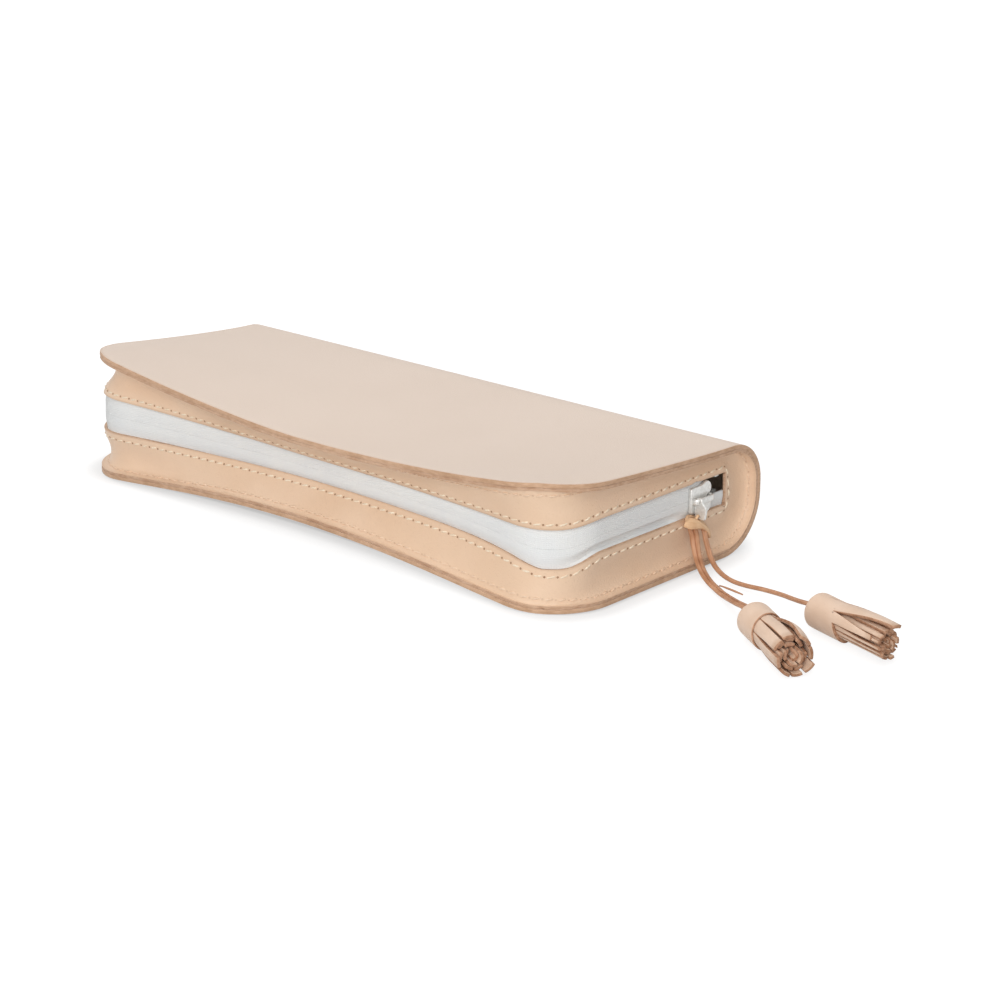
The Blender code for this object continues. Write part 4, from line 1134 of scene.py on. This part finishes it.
def makeUpperStop():
    # a clip bent round the parted tape's edge
    lines = [line for line in tapePoints(True) if line[0].x > 0]
    line = min(lines, key=lambda line: abs(line[0].y - stopForm["place"]))
    inwards = (line[0] - line[1]).normalized()
    edge = Vector((line[0].x, stopForm["place"], line[0].z))
    back = edge - inwards * stopForm["reach"]
    rise = Vector((0, 0, stopForm["half"]))
    path = [back + rise, edge + rise, edge + inwards * stopForm["half"], edge - rise, back - rise]
    piece = sweepStrip("topStopUpper", smoothPath(path), (0, 1, 0), stopForm["width"], stopForm["thick"])
    dress(piece, nickel)
    standFor(piece, ("top_stop_upper",), "lid")


makeUpperStop()
print("slider made")

# Hitch: the lace's turn through the tab, folded round the hanging strands

hitchForm = {
    "band": (  # place and width
        (0.0994, 0.0103, 0.0147, 0.0029), (0.1002, 0.0118, 0.0142, 0.0032), (0.1006, 0.0140, 0.0134, 0.0025),
        (0.1008, 0.0163, 0.0123, 0.0014), (0.1005, 0.0188, 0.0104, 0.0012), (0.0998, 0.0204, 0.0083, 0.0011),
        (0.0990, 0.0205, 0.0095, 0.0013), (0.0981, 0.0188, 0.0122, 0.0014), (0.0979, 0.0155, 0.0141, 0.0018),
        (0.0983, 0.0124, 0.0150, 0.0024),
    ),
    "bandWay": (-0.1, 0.25, 1.0),
    "through": (  # the stretch in the tab's hole
        (0.0996, 0.0139, 0.0144), (0.0999, 0.0142, 0.0153), (0.0999, 0.0150, 0.0156),
        (0.0998, 0.0158, 0.0153), (0.0995, 0.0162, 0.0144), (0.0992, 0.0163, 0.0132),
    ),
    "throughWidth": 0.0009, "thick": 0.0009,
}


def makeHitch():
    thick = hitchForm["thick"]
    band = hitchForm["band"] + hitchForm["band"][:1]
    path = smoothPath([spot[:3] for spot in band])
    widths = spreadValues([spot[3] for spot in band], len(path))
    parts = [sweepStrip("hitchBand", path[:-1], hitchForm["bandWay"], widths[:-1], thick, closed=True)]
    through = smoothPath(hitchForm["through"])
    parts.append(sweepStrip("hitchTurn", through, (1.0, 0.0, 0.0), hitchForm["throughWidth"], thick))
    piece = joinUp("laceHitch", parts)
    dress(piece, foldedLace)
    standFor(piece, ("lace_hitch",), "pull")


makeHitch()

# Tassels

tasselForm = {
    "radius": 0.0049, "wall": 0.0005, "thick": 0.0009, "softEdge": 0.00012, "around": 48,
    "backRound": 0.0014, "backSteps": 6,
    "backRings": ((0.0008, 0.24), (0.0002, 0.35), (0.0, 0.52)),  # along, share of the radius
    "capShares": (0.2, 0.4, 0.6, 0.8, 0.97, 1.0), "lip": (0.0001, 0.00003, 0.0002), "capDepth": 0.0016,
    "wave": 0.006, "uncut": 0.01,
    "hidden": 0.0040,  # of a strip, inside the cap
    "floor": 0.00005, "gapAtCap": 0.00005, "gapAtTip": 0.00032,
    "tipTurn": 6.0,  # degrees by which a strip may drift
    "tipReach": 0.0005, "tipLength": 0.0022, "tipSlant": 0.0016, "wrapSteps": 10, "wrapDrop": 0.0003,
    "wrapCurve": (0.0006, 2.4), "stripSteps": 12, "uneven": 0.00010,
    "left": {
        "start": (0.14257, -0.01571),
        "back": 0.0012,  # how far the cap reaches back over the lace
        "heading": -32.2, "cap": 0.0102,
        "tilt": 0.0014,  # the rim is not cut square
        "tiltAt": 215.0,
        "bow": (30.0, 90.0, 0.0020, 0.0012),  # where strips bow out, over what angle, how far halfway, at tip
        "seed": 3, "wrap": (),
        "layers": (  # reach at the rim, reach at the tip, length, slits
            (0.00433, 0.00478, 0.0277, (28, 73, 119, 168, 212, 254, 297, 342, 388)),
            (0.00335, 0.00365, 0.0266, (10, 62, 110, 158, 215, 270, 320, 370)),
            (0.00230, 0.00250, 0.0270, (40, 130, 215, 300, 400)),
            (0.00122, 0.00130, 0.0260, (80, 260, 440)),
        ),
        "slope": 0.0019,  # the tips end in a slanted face
        "slopeAt": 285.0,
    },
    "right": {
        "start": (0.15145, 0.00086), "back": 0.0014, "heading": -16.8, "cap": 0.0114, "tilt": 0.0022,
        "tiltAt": 235.0, "bow": (65.0, 75.0, 0.0008, 0.0014), "seed": 8,
        "wrap": (  # the cap's own leather: angles at the rim, angles at the tip, length
            (-12, 35, -8, 22, 0.0262), (35, 80, 26, 56, 0.0258), (80, 130, 62, 96, 0.0306),
            (130, 166, 145, 164, 0.0264), (166, 348, 0, 0, 0.0),
        ),
        "layers": (
            (0.00350, 0.00340, 0.0284, (-12, 30, 72, 110, 148)),
            (0.00392, 0.00405, 0.0290, (148, 168, 190, 212, 240, 270, 300, 330, 348)),
            (0.00290, 0.00285, 0.0280, (20, 75, 130, 185, 240, 300, 380)),
            (0.00190, 0.00200, 0.0286, (50, 170, 290, 410)), (0.00095, 0.00100, 0.0276, (0, 180, 360)),
        ),
        "slope": 0.0008, "slopeAt": 250.0,
    },
}


def tasselAxes(form):
    heading = math.radians(form["heading"])
    forward = Vector((math.cos(heading), math.sin(heading), 0.0))
    origin = Vector((*form["start"], tasselForm["radius"]))
    return origin - forward * form["back"], forward, Vector((-forward.y, forward.x, 0.0))


def roundAxis(form, along, reach, angle):
    origin, forward, side = tasselAxes(form)
    spot = origin + forward * along + side * math.cos(angle) * reach
    spot.z = max(spot.z + math.sin(angle) * reach, tasselForm["floor"])
    return spot


def rimAt(form, angle):
    return form["cap"] + form["tilt"] * math.cos(angle - math.radians(form["tiltAt"]))


def capProfile(form, angle):
    # back end and outer face as (along, reach), up to the rim
    radius = tasselForm["radius"]
    soft = tasselForm["backRound"]
    profile = [(along, radius * share) for along, share in tasselForm["backRings"]]
    for turn in evenSteps(0.0, math.pi / 2, tasselForm["backSteps"]):
        profile.append((soft * (1 - math.cos(turn)), radius - soft * (1 - math.sin(turn))))
    rim = rimAt(form, angle)
    return profile + [(soft + (rim - soft) * share, radius) for share in tasselForm["capShares"]]


def makeCap(name, form):
    radius = tasselForm["radius"]
    inner = radius - tasselForm["wall"]
    soft, fine, lip = tasselForm["lip"]
    lines = []
    for angle in evenSteps(0.0, 2 * math.pi, tasselForm["around"]):
        rim = rimAt(form, angle)
        profile = capProfile(form, angle)[:-1] + [(rim - soft, radius - fine), (rim, radius - lip)]
        profile += [(rim, inner + soft), (rim - lip, inner), (tasselForm["capDepth"], inner)]
        uneven = noise.noise(Vector((math.cos(angle), math.sin(angle), form["seed"])))
        wave = 1 + tasselForm["wave"] * uneven
        lines.append([roundAxis(form, along, reach * wave, angle) for along, reach in profile[::-1]])
    piece = gridPiece(name, lines, {"tipNear": [[tasselForm["uncut"]] * len(line) for line in lines]})
    weld(piece, fill=True)
    smooth(piece)
    dress(piece, tasselLeather, rawEdge)
    origin, forward, _ = tasselAxes(form)
    for face in piece.data.polygons:
        along = (face.center - origin).dot(forward)
        reach = (face.center - origin - forward * along).length
        if reach < radius - soft and along > 2 * tasselForm["backRound"]:
            face.material_index = 1
    return piece


def bowOut(form, angle, share):
    centre, span, middle, tip = form["bow"]
    turned = (math.degrees(angle) - centre + 180) % 360 - 180
    return ease(1 - abs(turned) / span) * (middle * math.sin(math.pi * share) + tip * share**2)


def finishStrips(piece):
    thicken(piece, tasselForm["thick"], tasselForm["softEdge"], 1, 50)
    smooth(piece, 50)


def wrapSector(form, sector):
    # one sector of the cap's leather from its back end, with the strip that is cut from it
    low, high, tipLow, tipHigh, length = sector
    swing, period = tasselForm["wrapCurve"]
    bowAt = math.radians((tipLow + tipHigh) / 2)
    rows = []
    tips = []
    for part in evenSteps(0.0, 1.0, max(round((high - low) / 7.5), 4))[::-1]:
        angle = math.radians(low + (high - low) * part)
        line = [roundAxis(form, along, reach, angle) for along, reach in capProfile(form, angle)]
        near = [tasselForm["uncut"]] * len(line)
        if length:
            rim = rimAt(form, angle)
            tip = math.radians(tipLow + (tipHigh - tipLow) * part)
            end = length + swing * math.sin(period * part)
            for share in evenSteps(0.0, 1.0, tasselForm["wrapSteps"])[1:]:
                turned = angle + (tip - angle) * ease(share * 0.9 + 0.1)
                reach = tasselForm["radius"] - tasselForm["wrapDrop"] * share**2 + bowOut(form, bowAt, share)
                line.append(roundAxis(form, rim + (end - rim) * share, reach, turned))
                near.append((end - rim) * (1 - share))
        rows.append(line)
        tips.append(near)
    columns = [list(column) for column in zip(*rows)]
    return gridPiece("wrapSector", columns, {"tipNear": [list(column) for column in zip(*tips)]})


def makeWrap(name, form):
    piece = joinUp(name, [wrapSector(form, sector) for sector in form["wrap"]])
    weld(piece, outwards=False)
    dress(piece, tasselLeather, rawEdge)
    finishStrips(piece)
    return piece


def fringeStrip(form, layer, low, high, index):
    # one cut strip of the roll, from inside the cap to its raw tip
    rimReach, tipReach, length, _ = layer
    seeds = [Vector((index * 1.7 + 0.4, form["seed"] + shift, rimReach * 900)) for shift in (0.2, 3.3, 6.6)]
    jitter, drift, lift = (noise.noise(seed) for seed in seeds)
    middle = math.radians((low + high) / 2)
    end = length + tasselForm["tipLength"] * jitter
    end += form["slope"] * math.cos(middle - math.radians(form["slopeAt"]))
    rows = max(round((high - low) / 9), 4)
    lines = []
    tips = []
    start = form["cap"] - tasselForm["hidden"]
    for share in evenSteps(0.0, 1.0, tasselForm["stripSteps"]):
        along = start + (end - start) * share
        outside = (along - form["cap"]) / (end - form["cap"])
        spread = ease(outside * 1.6)
        reach = rimReach + (tipReach - rimReach) * spread + tasselForm["tipReach"] * lift * spread**2
        reach += bowOut(form, middle, clamp(outside)) * (rimReach / tasselForm["radius"]) ** 2
        turn = (tasselForm["gapAtCap"] + (tasselForm["gapAtTip"] - tasselForm["gapAtCap"]) * spread) / reach
        line = []
        for part in evenSteps(0.0, 1.0, rows)[::-1]:
            angle = math.radians(low) + turn + (math.radians(high - low) - 2 * turn) * part
            angle += math.radians(tasselForm["tipTurn"]) * drift * spread**2
            bow = tasselForm["uneven"] * noise.noise(Vector((angle * 1.5, along * 130, form["seed"])))
            slant = tasselForm["tipSlant"] * drift * (part - 0.5) * share
            line.append(roundAxis(form, along + slant, reach + bow * spread, angle))
        lines.append(line)
        tips.append([end - along] * (rows + 1))
    piece = gridPiece("strip", lines, {"tipNear": tips})
    dress(piece, tasselLeather, rawEdge)
    finishStrips(piece)
    return piece


def makeFringe(name, form):
    parts = []
    for layer in form["layers"]:
        slits = layer[3]
        for index, (low, high) in enumerate(zip(slits, slits[1:])):
            parts.append(fringeStrip(form, layer, low, high, index))
    return joinUp(name, parts)


tasselPieces = {}
for side in ("left", "right"):
    form = tasselForm[side]
    makeTop = makeWrap if form["wrap"] else makeCap
    cap = makeTop("tasselCap" + side.title(), form)
    fringe = makeFringe("tasselFringe" + side.title(), form)
    for piece, part in ((cap, "_cap"), (fringe, "_fringe")):
        standFor(piece, ("tassel_" + side + part,), "slider")
    tasselPieces[side] = [cap, fringe]
print("tassels made")

makeLace("left", tasselPieces["left"])
makeLace("right", tasselPieces["right"])
makeLace("tag")
print("laces made")

# Floor, light and look

lightForm = {
    "world": 0.39, "worldInMetal": 0.95,
    "lamps": (  # name, power, place, size
        ("softKey", 10.4, (0.58, -0.98, 0.50), 1.0), ("overhead", 6.4, (-0.15, 0.10, 1.20), 1.3),
    ),
    "floorSize": 8.0, "floorLevel": -0.0002, "floorBounce": 0.60, "floorShade": 0.30,
    "paintedShadowFalloff": (  # by distance: the glow rises away from the case, out of its painted contact shadow
        (0.000, 0.0015, 0.0, 0.14), (0.001, 0.009, 0.0, 0.20), (0.080, 0.250, 0.0, 0.20),
    ),
    # glow at the case's outline: the darkest of the painted contact shadow
    "glowInPaintedShadow": 0.47,
    "paintedShadowDip": 0.0055,  # half of how far the raised front edge lets the eye under the case, so the painted shadow reaches under it
}


def paintedShadowDistance(tree):
    # how far a place of the floor lies outside the case's rounded outline, which sets the painted contact
    # shadow
    spot = addNode(tree, "SeparateXYZ", {0: spotOf(tree)})
    along = workOut(tree, "ABSOLUTE", spot.outputs["X"])
    share = workOut(tree, "DIVIDE", workOut(tree, "MULTIPLY", along, along), halfLength**2)
    dip = workOut(tree, "SUBTRACT", 1.0, workOut(tree, "MINIMUM", share, 1.0))
    dip = workOut(tree, "MULTIPLY", dip, lightForm["paintedShadowDip"])
    across = workOut(tree, "ABSOLUTE", workOut(tree, "SUBTRACT", spot.outputs["Y"], dip))
    squares = []
    for way, past in ((along, cornerX), (workOut(tree, "ADD", across, dip), -cornerY)):
        outside = workOut(tree, "MAXIMUM", workOut(tree, "SUBTRACT", way, past), 0.0)
        squares.append(workOut(tree, "MULTIPLY", outside, outside))
    away = workOut(tree, "POWER", workOut(tree, "ADD", *squares), 0.5)
    return workOut(tree, "SUBTRACT", away, corner)


def makeFloor():
    pick()
    bpy.ops.mesh.primitive_plane_add(size=lightForm["floorSize"], location=(0, 0, lightForm["floorLevel"]))
    floor = nameIt(bpy.context.object, "whiteFloor")
    made, tree, shader = startMaterial("whiteFloor", {})
    tree.nodes.remove(shader)
    plain, seen = (
        addNode(tree, "BsdfDiffuse", {"Color": (tone, tone, tone, 1.0)}).outputs[0]
        for tone in (lightForm["floorBounce"], lightForm["floorShade"])
    )
    away = paintedShadowDistance(tree)
    # the glow is lowest at the case and rises with distance: a painted contact shadow, besides the real shade
    # that the lamps cast
    level = lightForm["glowInPaintedShadow"]
    for limits in lightForm["paintedShadowFalloff"]:
        level = workOut(tree, "ADD", rangeOf(tree, away, *limits), level)
    glow = addNode(tree, "Emission", {"Color": (1.0, 1.0, 1.0, 1.0), "Strength": level}).outputs[0]
    both = addNode(tree, "AddShader", {0: seen, 1: glow}).outputs[0]
    rays = addNode(tree, "LightPath").outputs
    straight = workOut(tree, "MAXIMUM", rays["Is Camera Ray"], rays["Is Glossy Ray"])
    choice = addNode(tree, "MixShader", {0: straight, 1: plain, 2: both}).outputs[0]
    below = addNode(tree, "NewGeometry").outputs["Backfacing"]
    clear = addNode(tree, "BsdfTransparent").outputs[0]
    under = addNode(tree, "MixShader", {0: below, 1: choice, 2: clear})
    tree.links.new(under.outputs[0], tree.nodes["Material Output"].inputs["Surface"])
    dress(floor, made)


def makeLight():
    world = bpy.data.worlds.new("studio")
    bpy.context.scene.world = world
    world.use_nodes = True
    tree = world.node_tree
    tree.nodes.clear()
    rays = addNode(tree, "LightPath").outputs
    airs = []
    for strength in (lightForm["world"], lightForm["worldInMetal"], 1.0):
        inputs = {"Color": (1.0, 1.0, 1.0, 1.0), "Strength": strength}
        airs.append(addNode(tree, "Background", inputs).outputs[0])
    inMetal = addNode(tree, "MixShader", {0: rays["Is Glossy Ray"], 1: airs[0], 2: airs[1]}).outputs[0]
    inView = addNode(tree, "MixShader", {0: rays["Is Camera Ray"], 1: inMetal, 2: airs[2]}).outputs[0]
    addNode(tree, "OutputWorld", {"Surface": inView})
    for name, power, place, size in lightForm["lamps"]:
        turn = (-Vector(place)).to_track_quat("-Z", "Y").to_euler()
        bpy.ops.object.light_add(type="AREA", location=place, rotation=turn)
        lamp = bpy.context.object
        lamp.name = name
        lamp.data.energy = power
        lamp.data.size = size


makeFloor()
makeLight()
bpy.context.scene.view_settings.view_transform = "Standard"
print("floor and light made")
